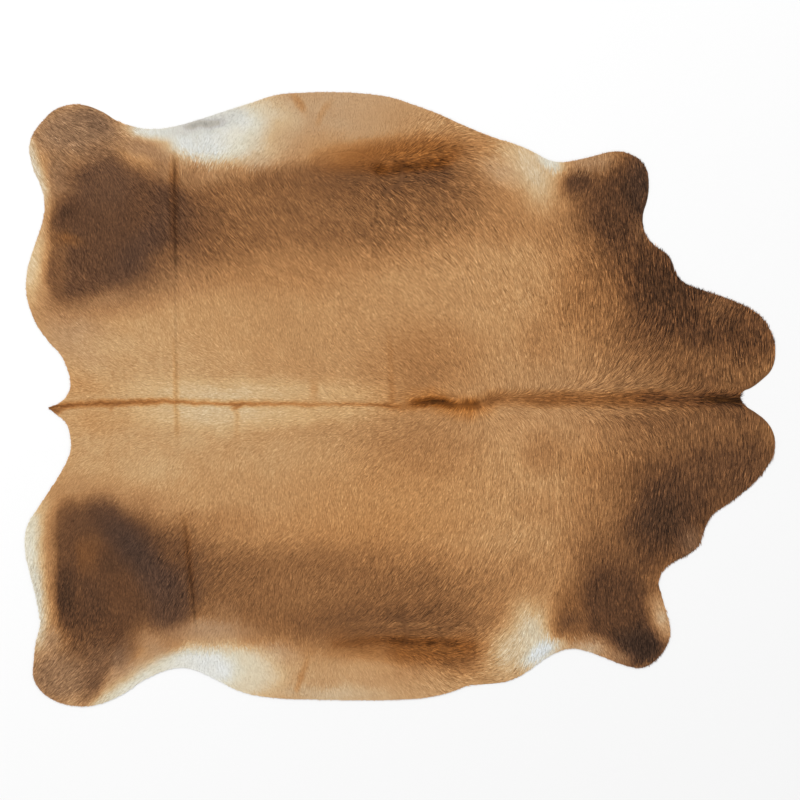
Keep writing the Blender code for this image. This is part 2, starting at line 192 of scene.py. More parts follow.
    (589, 200,  12,  16,   0,  0.31,   0.1, 0.7,  0.9, "brown hair inside the upper foreleg"),
    (592, 252,  11,  18,   0,  0.46,   0.1, 0.7,  0.9, "lighter hair behind the upper foreleg"),
    (642, 229,  12,   9,  60,   0.4,  -0.3, 0.7,  0.9, "lighter edge of the upper foreleg"),
    (614, 608,  52,  44, -70, 0.275,   0.1,   1, 0.45, "lower foreleg"),
    (650, 560,  13,   9,   0,  0.27,   0.2, 0.7,  0.9, "brown hair over the lower foreleg"),
    (642, 648,  27,  20,  10,  0.16,  -0.2,   1,  0.7, "dark end of the lower foreleg"),
    (619, 659,  13,   7,  10,  0.53,  -0.8, 0.7,  0.9, "lighter edge of the lower foreleg's end"),
    # whites
    (236, 131,  60,  35,   5, 0.765,  -0.1,   1,  0.3, "cream on the upper flank"),
    (212, 133,  48,  26,   8, 0.825,  -0.4,   1, 0.35, "white on the upper flank"),
    (244, 140,  21,  17,   5,  0.82,  -0.1, 0.8,  0.7, "warm white beside the upper white"),
    (278, 137,  13,  14,   0,  0.74,   0.3, 0.5,  0.9, "cream hair beside the upper white"),
    (284, 140,  22,  22,   0, 0.575,  -0.6, 0.6,  0.9, "tan hair by the upper white"),
    (256, 161,  14,   8,   0,  0.59,  -0.9, 0.5,  0.9, "pale hair below the upper cream"),
    (332, 694,  42,   8,   0,  0.73,  -0.6, 0.6,  0.9, "pale hair on the lower belly's edge"),
    (274, 655,  22,  10,   0, 0.605,  -1.1, 0.5,  0.9, "pale hair over the lower cream's end"),
    (225, 672,  54,  28,  -4,  0.77,  -0.1,   1,  0.4, "cream on the lower flank"),
    (197, 668,  38,  20,  -2,  0.85,  -0.3,   1,  0.4, "white on the lower flank"),
    (528, 170,  36,  20, -62,  0.71,  -0.2,   1,  0.8, "cream in the upper armpit"),
    (500, 174,  16,  13, -30,  0.61,  -0.5, 0.8,  0.9, "pale hair before the upper armpit"),
    (549, 160,  13,   7, -20,  0.83,  -0.3, 0.9,  0.8, "white in the upper armpit"),
    (511, 652,  28,  20,  50, 0.735,  -0.1, 0.9,  0.9, "pale hair before the lower armpit"),
    (535, 641,  37,  18, 106,  0.76,  -0.1,   1,  0.8, "cream in the lower armpit"),
    (570, 612,  15,  24,   0,  0.38,   0.3, 0.8,  0.8, "brown hair beside the lower armpit"),
    (569, 621,  11,   9,   0,  0.29,     0, 0.7,  0.9, "dark spot by the lower armpit"),
    (543, 652,  20,  10,  28,  0.85,  -0.5, 0.9,  0.6, "white in the lower armpit"),
    (588, 651,  22,  10,   5,  0.66,  -0.8, 0.9,  0.8, "pale edge of the lower foreleg"),
)

# Narrow marks along a route of x, y and strength.
STROKES = rows(
    Stroke,
    ("pale rim of the upper hock", 6, 0.9, 0.74, -0.3, (
        (30, 145, 0.8), (32, 160, 1), (37, 175, 1), (43, 190, 0.9), (46, 205, 0.4), (43, 222, 0.4),
        (40, 240, 0.5))),
    ("pale rim of the upper hind leg", 12, 0.9, 0.74, 0.1, (
        (38, 238, 0.1), (33, 250, 0.8), (30, 262, 1), (28, 280, 0.9), (28, 298, 0.5), (33, 315, 0.1))),
    ("cream edge beside the upper hock", 7, 0.9, 0.82, -0.4, (
        (126, 126, 0.3), (138, 130, 0.9), (150, 132, 1), (160, 132, 1), (172, 131, 1), (184, 128, 0.9),
        (196, 124, 0.5))),
    ("pale rim of the lower hind leg", 15, 0.8, 0.82, -0.1, (
        (34, 510, 0.4), (28, 522, 0.9), (26, 545, 1), (27, 562, 1), (29, 576, 0.8))),
    ("pale rim above the lower hock", 8, 0.9, 0.8, -0.3, (
        (31, 575, 0.8), (36, 595, 1), (38, 622, 0.9), (36, 642, 0.6), (33, 658, 0.1))),
    ("cream rim under the lower hock", 11, 0.8, 0.83, -0.1, (
        (76, 706, 0.2), (90, 706, 0.5), (102, 704, 0.7), (114, 700, 0.9), (130, 690, 1), (147, 678, 1),
        (165, 668, 0.8), (185, 664, 0.4))),
    ("dark strip on the lower hock", 6, 0.9, 0.37, -0.5, (
        (106, 640, 0.2), (106, 655, 0.8), (101, 672, 0.9), (92, 690, 0.8), (84, 702, 0.5))),
    ("edge of the upper patch", 8, 0.7, 0.36, -0.1, (
        (61, 202, 0.3), (62, 235, 0.6), (60, 262, 0.9), (58, 285, 0.9), (60, 303, 0.3))),
    ("edge of the lower patch", 9, 0.45, 0.3, 0, (
        (68, 506, 0.3), (67, 540, 0.8), (68, 570, 0.9), (67, 600, 1), (70, 622, 0.6), (74, 642, 0.1))),
    ("cool dark hair across the upper patch", 13, 0.9, 0.265, -0.6, (
        (112, 282, 0.2), (130, 261, 0.6), (149, 240, 0.6), (164, 221, 0.4), (166, 200, 0.3))),
    ("warm hair at the upper patch's edge", 5, 0.9, 0.37, 0.5, (
        (55, 240, 0.2), (66, 238, 0.9), (76, 241, 0.6), (86, 244, 0.1))),
    ("dark spot at the upper patch's edge", 8, 0.9, 0.235, 0, (
        (60, 222, 0.6), (66, 212, 1), (70, 202, 0.5))),
    ("cool dark hair across the lower patch", 13, 0.9, 0.245, -0.7, (
        (104, 508, 0.3), (118, 530, 0.8), (134, 548, 1), (152, 568, 0.8), (168, 588, 0.6), (176, 612, 0.5),
        (172, 632, 0.1))),
    ("dark spot at the lower patch's edge", 10, 0.9, 0.225, 0.1, (
        (66, 578, 0.7), (66, 596, 1), (68, 616, 0.7))),
    ("greyish edge of the upper white", 8, 0.9, 0.76, -0.8, (
        (172, 130, 0.5), (186, 128, 1), (206, 124, 0.8), (222, 119, 0.7), (238, 114, 0.5), (250, 109, 0))),
    ("grey smudge on the upper white", 3.4, 0.9, 0.62, -2.3, (
        (186, 127, 0.4), (193, 125.5, 0.9), (199, 124, 0.8), (206, 124, 0.9), (212, 124, 0.7),
        (218, 123.5, 0.7), (225, 123, 0.1))),
    ("rusty hair over the upper whorl", 10.5, 0.9, 0.41, 1, (
        (322, 162, 0.3), (345, 158, 0.7), (375, 155, 0.9), (405, 152, 1), (435, 151, 1), (452, 150, 0.5))),
    ("upper whorl's crease", 5.5, 0.9, 0.265, 1.8, (
        (330, 170, 0.1), (350, 170, 0.2), (368, 168, 0.4), (379, 169, 1), (390, 170, 0.6), (402, 167, 0.9),
        (415, 167, 0.7), (430, 165, 0.8), (441, 164, 0.8), (450, 157, 0.4), (457, 150, 0.1))),
    ("rusty hair under the lower whorl", 11, 0.9, 0.385, 1, (
        (338, 641, 0.3), (362, 645, 0.5), (385, 646, 0.5), (400, 649, 1), (425, 651, 1), (450, 650, 0.9),
        (466, 648, 0.9), (474, 645, 0.3))),
    ("lower whorl's crease", 3.8, 0.9, 0.255, 1.6, (
        (336, 644, 0.2), (355, 642, 0.3), (372, 640, 0.4), (385, 640, 0.5), (396, 641, 0.7), (403, 641, 0.9),
        (412, 642, 0.6), (422, 642, 0.6), (430, 642, 0.9), (440, 641, 0.4), (450, 643, 0.5), (462, 646, 0.3),
        (472, 646, 0.2))),
    ("light line over the lower whorl", 1.5, 0.8, 0.47, 0, (
        (350, 624, 0.3), (380, 624, 0.5), (400, 624, 0.6), (424, 624, 0.9), (436, 626, 0.4))),
    ("brown line on the lower belly", 2.6, 0.9, 0.5, 0.2, (
        (310, 652, 0.1), (306, 664, 0.5), (301, 678, 0.7), (297, 690, 0.5))),
    ("brown line on the upper belly", 3.2, 0.9, 0.52, 0.1, (
        (293, 95, 0.5), (298, 101, 0.8), (302, 107, 0.7), (305, 113, 0.1))),
    ("second brown line on the upper belly", 2.6, 0.9, 0.54, 0.1, (
        (331, 101, 0.1), (326, 107, 0.5), (320, 117, 0.5), (318, 125, 0.3))),
    ("pale rim of the lower foreleg", 10, 0.9, 0.64, -0.5, (
        (654, 590, 0), (658, 604, 0.7), (662, 618, 1), (666, 630, 0.7), (668, 640, 0.1))),
    # The next three marks darken and warm the hair along the folds: partly the hair's own colour there,
    # partly painted shade of the creases.
    ("dark hair and painted shade along the upper fold", 4, 0.9, 0.24, 1.6, (
        (174, 158, 0.1), (174, 176, 0.4), (174, 200, 0.4), (174, 225, 0.4), (175, 243, 0.2), (175, 262, 0))),
    ("warm hair and painted shade along the lower fold", 3.4, 0.9, 0.27, 1.6, (
        (184, 518, 0.1), (187, 540, 0.3), (191, 580, 0.4), (194, 605, 0.2), (196, 620, 0))),
    ("warm hair and painted shade along the fold across the spine", 2.2, 0.9, 0.58, 0.8, (
        (175, 340, 0.1), (176, 375, 0.4), (176, 402, 0.4), (177, 425, 0.4), (178, 448, 0))),
    ("faint mark below the spine", 2.2, 0.9, 0.56, 0.3, (
        (236, 405, 0.5), (237, 415, 0.4), (237, 430, 0.3), (238, 442, 0))),
    ("faint mark above the spine", 2.4, 0.9, 0.48, 0.5, (
        (389, 330, 0.1), (390, 350, 0.3), (391, 370, 0.3), (392, 388, 0.5), (392, 402, 0.6))),
    ("faint spot above the spine", 4, 0.9, 0.56, 0.2, (
        (314, 382, 0.3), (314, 390, 0.6), (314, 398, 0.4))),
    ("brown hair beside the rump's line", 3, 0.9, 0.46, 0.8, (
        (47, 407, 0.8), (60, 406, 0.8), (72, 405, 0.9), (84, 404, 0.6), (96, 403.5, 0.8), (108, 403, 0.8),
        (120, 403, 0.8), (132, 403, 0.6), (144, 402.3, 0.8), (156, 401.3, 0.7), (164, 401, 0.5),
        (176, 401.5, 0.4), (192, 402.5, 0.35), (204, 402.5, 0.35), (216, 403, 0.3), (228, 403.5, 0.35),
        (240, 404, 0.6), (250, 403.5, 0.3), (276, 403.5, 0.3), (300, 404, 0.3), (324, 404, 0.2),
        (345, 403.7, 0.1), (368, 403.5, 0.1), (384, 404.7, 0.4), (398, 406.5, 0.6))),
    ("spine line over the rump", 1.2, 0.9, 0.34, 0.9, (
        (47, 407, 1), (60, 406, 0.9), (75, 404.7, 0.6), (90, 404, 0.4), (105, 403, 0.7), (120, 403, 0.6),
        (150, 402, 0.4), (163, 401, 0.3), (176, 402, 0.5), (200, 403, 0.3), (235, 404.3, 0.5),
        (242, 404, 0.4), (284, 404, 0.3), (319, 404.6, 0.2), (353, 404, 0.3), (376, 404.7, 0.5),
        (388, 405.5, 0.7), (400, 407, 0.4))),
    ("tuft under the rump's line", 1.4, 0.9, 0.42, 0.5, (
        (241, 404, 0.7), (236, 407, 0.7), (232, 410, 0.3))),
    ("second tuft under the rump's line", 1.4, 0.9, 0.42, 0.5, (
        (120, 402, 0.7), (113, 406, 0.8), (110, 409, 0.3))),
    ("orange hair round the smear", 9, 0.9, 0.48, 1.2, (
        (398, 405, 0.1), (415, 400, 0.4), (432, 399, 0.7), (450, 406, 0.7), (468, 409, 0.8),
        (486, 405, 0.3))),
    ("smear on the spine", 4, 0.9, 0.24, 2, (
        (402, 406.5, 0.1), (410, 404.5, 0.3), (418, 403, 0.8), (424, 402, 0.9), (433, 401.2, 1),
        (443, 402, 0.9), (452, 404.5, 0.7), (458, 405.8, 0.4), (468, 404.5, 0.6), (477, 404.5, 0.7),
        (482, 404.5, 0.2), (491, 401, 0.1))),
    ("spine band to the neck", 6.5, 0.9, 0.38, 0.8, (
        (482, 404, 0.3), (492, 399, 0.7), (504, 398, 0.7), (516, 398, 0.6), (528, 398.5, 0.8),
        (545, 399.5, 0.9), (564, 398.5, 0.95), (585, 399.3, 0.8), (604, 399.5, 0.8), (620, 399, 0.9),
        (640, 398.5, 0.9), (655, 398.5, 0.7))),
    ("darker band by the notch", 5.5, 0.9, 0.24, 0.9, (
        (615, 399, 0), (636, 399, 0.3), (648, 398.5, 0.8), (660, 398, 1), (671, 399.5, 0.75),
        (684, 399.5, 0.65), (696, 399.5, 0.6), (712, 399.5, 0.9))),
    ("dark hair in the neck's notch", 4.5, 0.9, 0.12, 1.6, (
        (703, 398.5, 0.3), (712, 399, 0.8), (720, 399.5, 1), (730, 400, 1), (742, 400, 1))),
    ("line under the neck's notch", 1.6, 0.8, 0.3, 0.2, (
        (712, 405.5, 0.6), (722, 406, 0.7), (735, 406.5, 0.7), (743, 405, 0.9))),
    ("brown hair under the tail's tip", 3, 0.8, 0.38, 0.5, (
        (50, 409.5, 0.9), (57, 411, 0.8), (64, 411, 0))),
)

# Thin lines of painted shade in the creases where the hide was folded, and the share of light that each
# takes.
FOLDS = rows(
    Fold,
    # x      y   end x  end y  width  dark  name
    (174.2, 140, 175.6,  290,   2.6,  0.37, "upper flank's fold"),
    (175.0, 270, 177.5,  460,   2.4,  0.12, "fold across the spine"),
    (183.0, 505, 197.6,  642,   2.4,  0.30, "lower flank's fold"),
    ( 51.5, 106,  53.5,  318,   2.2,  0.08, "upper hind leg's crease"),
    ( 58.5, 492,  60.0,  676,   2.4,  0.12, "lower hind leg's crease"),
)

# Which way the hair lies: degrees anticlockwise from the neck's direction, root and tip not told apart.
LIES = rows(
    Lie,
    # upper hind leg and its rims
    (55, 140, 140), (105, 140, 148), (80, 108, 165), (130, 168, 135), (180, 148, 106), (155, 190, 130),
    (102, 224, 96), (105, 195, 110), (80, 220, 98), (105, 255, 104), (52, 215, 118), (50, 262, 122),
    (58, 300, 134), (110, 300, 131), (105, 345, 145), (36, 165, 112), (64, 182, 140),
    # upper side of the back
    (80, 368, 148), (135, 366, 152), (142, 380, 174), (182, 380, 158), (205, 362, 152), (280, 365, 134),
    (380, 364, 138), (430, 364, 134), (100, 390, 5), (200, 390, 179), (300, 390, 172), (380, 390, 168),
    (155, 320, 113), (230, 310, 112), (285, 325, 102), (232, 342, 116), (302, 344, 98), (255, 380, 168),
    (340, 380, 142), (335, 312, 126), (430, 310, 130), (470, 342, 112), (500, 345, 104), (500, 378, 104),
    (180, 250, 122), (230, 240, 132), (280, 250, 126), (330, 240, 131), (430, 240, 133),
    # upper flank, belly and whorl
    (205, 200, 128), (206, 162, 66), (228, 162, 52), (252, 162, 50), (280, 160, 50), (225, 186, 126),
    (252, 186, 124), (284, 186, 122), (290, 140, 68), (330, 195, 134), (380, 195, 135), (430, 195, 135),
    (330, 118, 88), (380, 115, 104), (345, 148, 62), (380, 146, 60), (410, 140, 54), (435, 140, 38),
    (475, 142, 2), (350, 166, 2), (400, 166, 178), (430, 166, 166), (458, 166, 160), (482, 170, 146),
    (505, 165, 137), (530, 168, 108), (505, 195, 132), (535, 200, 114), (555, 185, 86),
    # upper foreleg and shoulder
    (480, 240, 125), (530, 245, 119), (555, 220, 104), (580, 190, 74), (605, 185, 88), (630, 185, 90),
    (605, 225, 100), (635, 235, 98), (645, 175, 100), (500, 290, 114), (540, 290, 108), (582, 262, 114),
    (580, 292, 86), (612, 285, 98), (650, 275, 94), (662, 300, 96),
    # upper side of the neck
    (520, 345, 104), (555, 340, 104), (590, 345, 92), (620, 340, 70), (655, 335, 68), (690, 335, 94),
    (730, 318, 68), (740, 340, 98), (762, 345, 86), (545, 370, 100), (590, 366, 76), (630, 366, 50),
    (655, 364, 56), (690, 365, 78), (730, 370, 94),
    # lower side of the back
    (80, 415, 7), (200, 415, 8), (300, 415, 9), (380, 415, 12), (420, 420, 30), (140, 424, 10), (222, 424, 4),
    (262, 424, 178), (342, 424, 18), (105, 440, 32), (205, 440, 40), (280, 440, 48), (355, 440, 50),
    (430, 442, 66), (480, 440, 74), (130, 472, 50), (230, 470, 68), (330, 465, 64), (430, 472, 68),
    (105, 500, 50), (180, 495, 62), (255, 500, 88), (295, 502, 94), (335, 502, 86), (405, 500, 60),
    (480, 500, 78),
    # lower hind leg and its rims
    (52, 530, 52), (80, 538, 66), (105, 565, 92), (80, 592, 78), (132, 588, 98), (138, 618, 84),
    (85, 618, 78), (130, 535, 58), (180, 540, 56), (60, 650, 55), (105, 650, 54), (130, 642, 46),
    (80, 690, 42), (135, 668, 42), (40, 560, 80), (48, 600, 76),
    # lower flank, belly and whorl
    (180, 590, 68), (230, 565, 50), (330, 560, 53), (430, 560, 56), (472, 542, 72), (300, 540, 48),
    (288, 586, 78), (362, 582, 64), (330, 605, 56), (380, 612, 48), (430, 612, 45), (220, 620, 66),
    (240, 645, 100), (275, 645, 105), (305, 645, 82), (255, 670, 122), (305, 675, 88), (355, 672, 116),
    (400, 664, 130), (430, 664, 134), (458, 664, 152), (330, 640, 48), (365, 640, 20), (405, 641, 0),
    (435, 641, 6), (458, 642, 26), (482, 640, 40), (505, 640, 48), (532, 640, 72), (480, 600, 54),
    (505, 608, 53), (535, 605, 62), (478, 664, 14),
    # lower foreleg and shoulder
    (530, 560, 73), (580, 565, 84), (630, 560, 84), (552, 622, 96), (580, 622, 112), (605, 640, 118),
    (640, 640, 92), (655, 615, 116), (605, 600, 90), (640, 595, 86), (500, 545, 62), (530, 500, 84),
    (580, 500, 95), (610, 500, 82), (655, 500, 77), (690, 500, 92), (685, 535, 104), (655, 545, 84),
    # lower side of the neck
    (503, 424, 130), (530, 455, 94), (560, 450, 92), (605, 445, 108), (635, 440, 122), (660, 440, 114),
    (622, 460, 92), (660, 460, 80), (690, 445, 92), (730, 440, 97), (760, 440, 88), (740, 470, 78),
    (640, 468, 88), (700, 470, 84), (700, 492, 98),
)

# The parting along the spine, from the tail's tip to the notch of the neck.
SPINE = (
    (46, 407), (90, 404), (120, 402.5), (150, 399.8), (176, 401), (240, 404), (319, 404.5), (388, 405.5),
    (404, 406.5), (422, 402.3), (439, 402.3), (457, 405.8), (476, 406), (491, 400.8), (520, 398),
    (575, 397), (624, 400), (659, 398.3), (714, 399), (745, 400),
)
# How far above and below the parting the neck's hair has turned from along it to its own lie.
BENDS = rows(
    Bend, (490, 12, 20), (540, 13, 24), (600, 30, 32), (660, 30, 30), (700, 14, 16), (745, 10, 12),
)
# The two whorls where the flanks' hair parts.
WHORLS = ((395, 166), (400, 642))

# Streak contrast of 255 steps, and lock length in mm.
VIGOURS = rows(
    Vigour,
    (80, 130, 7, 20, "upper hock"), (100, 220, 1.9, 12, "upper hind patch"),
    (185, 225, 6.2, 22, "before the upper patch"), (50, 255, 6.5, 20, "upper hind rim"),
    (120, 345, 3.6, 12, "upper rump"), (250, 345, 3.5, 12, "upper loin"), (400, 330, 5, 13, "upper back"),
    (300, 220, 5.2, 20, "upper flank"), (420, 200, 8.6, 22, "below the upper whorl"),
    (485, 160, 6.5, 24, "upper elbow"), (350, 120, 0.4, 13, "upper belly"), (208, 130, 0, 13, "upper white"),
    (246, 126, 0, 13, "upper cream"), (226, 188, 7, 24, "below the upper white"),
    (540, 180, 2.4, 19, "upper armpit"), (530, 260, 6.5, 22, "behind the upper shoulder"),
    (520, 360, 5.3, 20, "upper withers"), (600, 300, 8.3, 28, "upper shoulder"),
    (612, 195, 6.5, 20, "upper foreleg"), (662, 285, 9.5, 26, "edge of the upper shoulder"),
    (725, 340, 9.3, 27, "upper neck"), (650, 375, 7.3, 26, "neck above the spine"),
    (75, 680, 6.6, 20, "lower hock"), (105, 570, 1.4, 12, "lower hind patch"),
    (190, 575, 5.2, 20, "before the lower patch"), (50, 600, 6.5, 20, "lower hind rim"),
    (125, 455, 2.8, 12, "lower rump"), (250, 460, 3.3, 12, "lower loin"), (400, 470, 4.6, 13, "lower back"),
    (300, 590, 4.1, 18, "lower flank"), (425, 605, 5.9, 21, "above the lower whorl"),
    (485, 635, 7.2, 24, "lower elbow"), (350, 676, 1.9, 13, "lower belly"),
    (210, 664, 0.3, 13, "lower white"), (530, 630, 3.8, 19, "lower armpit"),
    (540, 540, 6, 22, "behind the lower shoulder"), (520, 440, 5.3, 20, "lower withers"),
    (600, 490, 7, 28, "lower shoulder"), (612, 600, 4.7, 20, "lower foreleg"),
    (665, 520, 6.8, 26, "edge of the lower shoulder"), (24, 546, 2, 16, "lower leg's rim"),
    (150, 684, 1.5, 16, "lower hock's rim"), (26, 275, 3, 16, "upper leg's rim"),
    (725, 450, 6.8, 27, "lower neck"), (642, 632, 5, 18, "end of the lower foreleg"),
)

# Tones of the coat. Lengths are in metres here and below.
BASE_TONE = 0.585  # where no patch lies
WANDER = 0.010  # how far the soft patches' edges stray
WANDER_SIZES = (0.075, 0.030)  # lengths of the bends in them
MOTTLE = 0.007  # tone by which the coat is mottled
MOTTLE_SIZES = (0.022, 0.050)
STROKE_WANDER, STROKE_WANDER_SIZE = 0.0030, 0.011  # the same for the narrow marks
PATCH_CELLS = 256  # cells of the random table along each side, after which it repeats
FOLD_CORE = 0.2  # share of a fold's width that is darkest
FADE = 0.22  # share of a fold's length over which each end fades out
UNDERCOAT_STREAKS = 0.03  # tone of the undercoat's streaks
# The undercoat takes the roots' darker tone: partly their own colour, partly painted shade deep in the pile.
UNDERCOAT_DEPTH = 0.35  # how near the undercoat's tone is to the hair's roots

# The lie of the hair
WIDE_STEP, SOFT_STEP, FINE_STEP = 0.012, 0.005, 0.0015  # between lattice points
EDGE_REACH = 0.045  # up to which the distance from the cut edge is known
LIE_BLEND, VIGOUR_BLEND = 0.050, 0.130  # over which one place's value gives way to the next
FAR_SHARE, FAR_FALL = 1e-7, 50  # so that far places still count where none is near
BACKWARD = 0.35  # share of lean along the spine when hair falls away from it
NECK_STARTS = (478, 498)  # plan x over which the lean turns from the tail to the neck
WHORL_SIZE, WHORL_PULL = (0.23, 0.11), 3.0
WHORL_SPREAD = (6, 12)  # how strongly hair leaves a whorl, along the hide and across it
LONG_HAIR = (0.015, 0.026)  # lock lengths between which streaks grow from short to long
LONG_REACH, SHORT_REACH, CLUMP_REACH = 0.018, 0.0050, 0.022  # half the length of a streak
STREAKS, CLUMPS, OWN = 2.5, 0.6, 2.7  # what each gives to the streak contrast

# The skin
RIM_STEP, SKIN_STEP, SUEDE_STEP = 0.006, 0.011, 0.030
RIM_HEIGHT = 0.0012  # of the coat side along its rim
TOP_INSET, LOW_INSET = 0.0010, 0.0005  # how far its two rims lie inside the solid's
SPOT_CLEARANCE = 0.6  # steps between a rim and the nearest point inside it
HEIGHT_INSET = 0.0006  # inside which rays meet the solid's coat side
RAY_START = 0.1  # height that the rays come down from
FILL_ROUNDS = 4  # lattice steps that the heights are carried on past the rays
EDGE_HEIGHT = 0.0019  # farther out
# Where the coat side, cut edge and suede side lie on the map: start, height, and height by thickness.
MAP_BANDS = {1: (0.51, 0.485, 0.0), 0: (0.485, 0.012, 0.6), -1: (0.005, 0.47, 0.0)}
MAP_MARGIN = 0.005  # left free at the map's sides

# The locks of hair
HIDE_AREA = 3.197  # square metres inside the cut outline
COAT_PIECES = ("coat_rump", "coat_loin", "coat_barrel", "coat_shoulders", "coat_neck")
LOCK_TRIANGLES = np.array([(0, 1, 3), (1, 2, 3)])  # root, right side, tip, left side
UNEVEN = (0.7, 1.3)  # how far lengths and widths differ from lock to lock
WIDEST = 0.42  # share of its length at which a lock is widest
LOCK_YAW, LOCK_ROLL = 5.0, 22.0  # degrees that locks stray from the lie and from flat
OWN_WAY = 0.3  # how far a lock's tip keeps its root's direction
ROOT_MARGIN = 0.0012  # least distance of a root from the cut edge
ROOT_DEPTH = 0.9  # share of the pile's depth that roots lie at
ROUGH_CONTRAST = 7.0  # streak contrast of a coat that is ruffled in full
ROUGHNESS = (0.12, 1.1)  # the least and most ruffled
LIVELY_CONTRAST, LEAST_LIVELY = 5.0, 0.2  # the same for how much a hair lightens
FULL_LIFT_LENGTH = 0.020  # from which on the tips stand off in full
CLUMP_LIFT = 0.35  # share of the lift that neighbours have in common
MID_LIFT, MID_SINK = 0.15, 0.4  # spread of the widest place's lift, and how deep it lies
TIP_LIFTS = (-0.6, 0.9)  # least and most, in shares of the lift
DROOP_REACH, DROOP = 0.006, 0.0010  # tips past the cut edge bend down
OVERHANG_SPREAD, OVERHANG_MOST = 0.6, 3  # in shares of the overhang setting
FRINGE_STARTS = (630, 660)  # plan x over which the edge grows shaggier towards the neck
NECK_FRINGE = 1.5  # how much farther the neck's hair reaches out
TONE_PLACE, TONE_SPREAD = 0.6, 0.4  # where along a lock its tone is taken
LOWEST_HAIR = 0.0002  # so that no hair goes through the floor
COAT_STRIP = 0.012  # locks are kept in strips across the hide

# Colours and stage
WARM_LIFT, COOL_LIFT = 1.14, 1.48  # so that tinted hair is no darker
HUE_SHARE = 0.4  # how far a streak's tone changes its hue
STREAK_LIGHT = 1.3  # how far it changes its lightness
LEAST_TONE, LEAST_LIGHT = 0.2, 0.25  # so that streaks in dark hair stay in bounds
HAIR_ROUGHNESS, ROUGH_GRAIN = 0.62, 0.25  # the middle, and what the grain adds
COAT_VALUES = {"Tone": "coat_tone", "Warmth": "coat_warmth", "Streak": "coat_streak", "Along": "coat_along"}
GROUP_INPUTS = (("Tone", 0.5), ("Warmth", 0.0), ("Streak", 0.0), ("Along", 0.5), ("Tip gain", 0.05),
                ("Grain", 0.02))
PICTURE_PIXELS = 800  # of the plan that the camera sees
SENSOR = 36.0  # the camera's width of film in mm
FLOOR, FLOOR_DROP, FLOOR_MOTTLE = 30.0, 0.0002, 0.995  # half width, depth, darkest share
KEY_PLACE, KEY_SIZE = (-6.0, 8.0, 10.0), 5.0


# Plan and outline

def on_plan(x, y):
    """Metres in the part's frame for a place on the plan."""
    return ((np.asarray(x, float) - PLAN_MIDDLE[0]) * PLAN_UNIT,
            (PLAN_MIDDLE[1] - np.asarray(y, float)) * PLAN_UNIT)


def spot(x, y):
    """One place on the plan, as two plain numbers in metres."""
    return tuple(float(c) for c in on_plan(x, y))


def plan_x(x):
    """The plan's x for metres in the part's frame."""
    return x / PLAN_UNIT + PLAN_MIDDLE[0]


def smooth(low, high, value):
    """0 below low, 1 above high, and an even curve between them."""
    part = np.clip((value - low) / (high - low), 0.0, 1.0)
    return part * part * (3.0 - 2.0 * part)


def cut_edge(node):
    """The hide's cut outline, anticlockwise, read from the flat underside of its solid."""
    mesh = node.data
    key = [tuple(round(c * 1e5) for c in v.co) for v in mesh.vertices]
    sides = Counter()
    for face in mesh.polygons:
        if face.normal.z < -0.9:
            ring = [key[i] for i in face.vertices]
            sides.update(zip(ring, ring[1:] + ring[:1]))
    follow = {a: b for a, b in sides if (b, a) not in sides}
    start = here = next(iter(follow))
    loop = []
    while True:
        loop.append(here)
        here = follow[here]
        if here == start:
            break
    edge = np.array(loop, float)[:, :2] * 1e-5
    twice_area = np.sum(edge[:, 0] * np.roll(edge[:, 1], -1) - edge[:, 1] * np.roll(edge[:, 0], -1))
    return edge if twice_area > 0 else edge[::-1]


def resampled(edge, step):
    """The outline again, with points an even step apart."""
    closed = np.vstack([edge, edge[:1]])
    run = np.concatenate([[0.0], np.cumsum(np.hypot(*np.diff(closed, axis=0).T))])
    count = int(round(run[-1] / step))
    at = np.linspace(0.0, run[-1], count, endpoint=False)
    return np.stack([np.interp(at, run, closed[:, 0]), np.interp(at, run, closed[:, 1])], 1)


def inset(edge, depth):
    """The outline moved inwards by depth."""
    along = np.roll(edge, -1, 0) - np.roll(edge, 1, 0)
    along /= np.hypot(along[:, 0], along[:, 1])[:, None]
    return edge + np.stack([-along[:, 1], along[:, 0]], 1) * depth


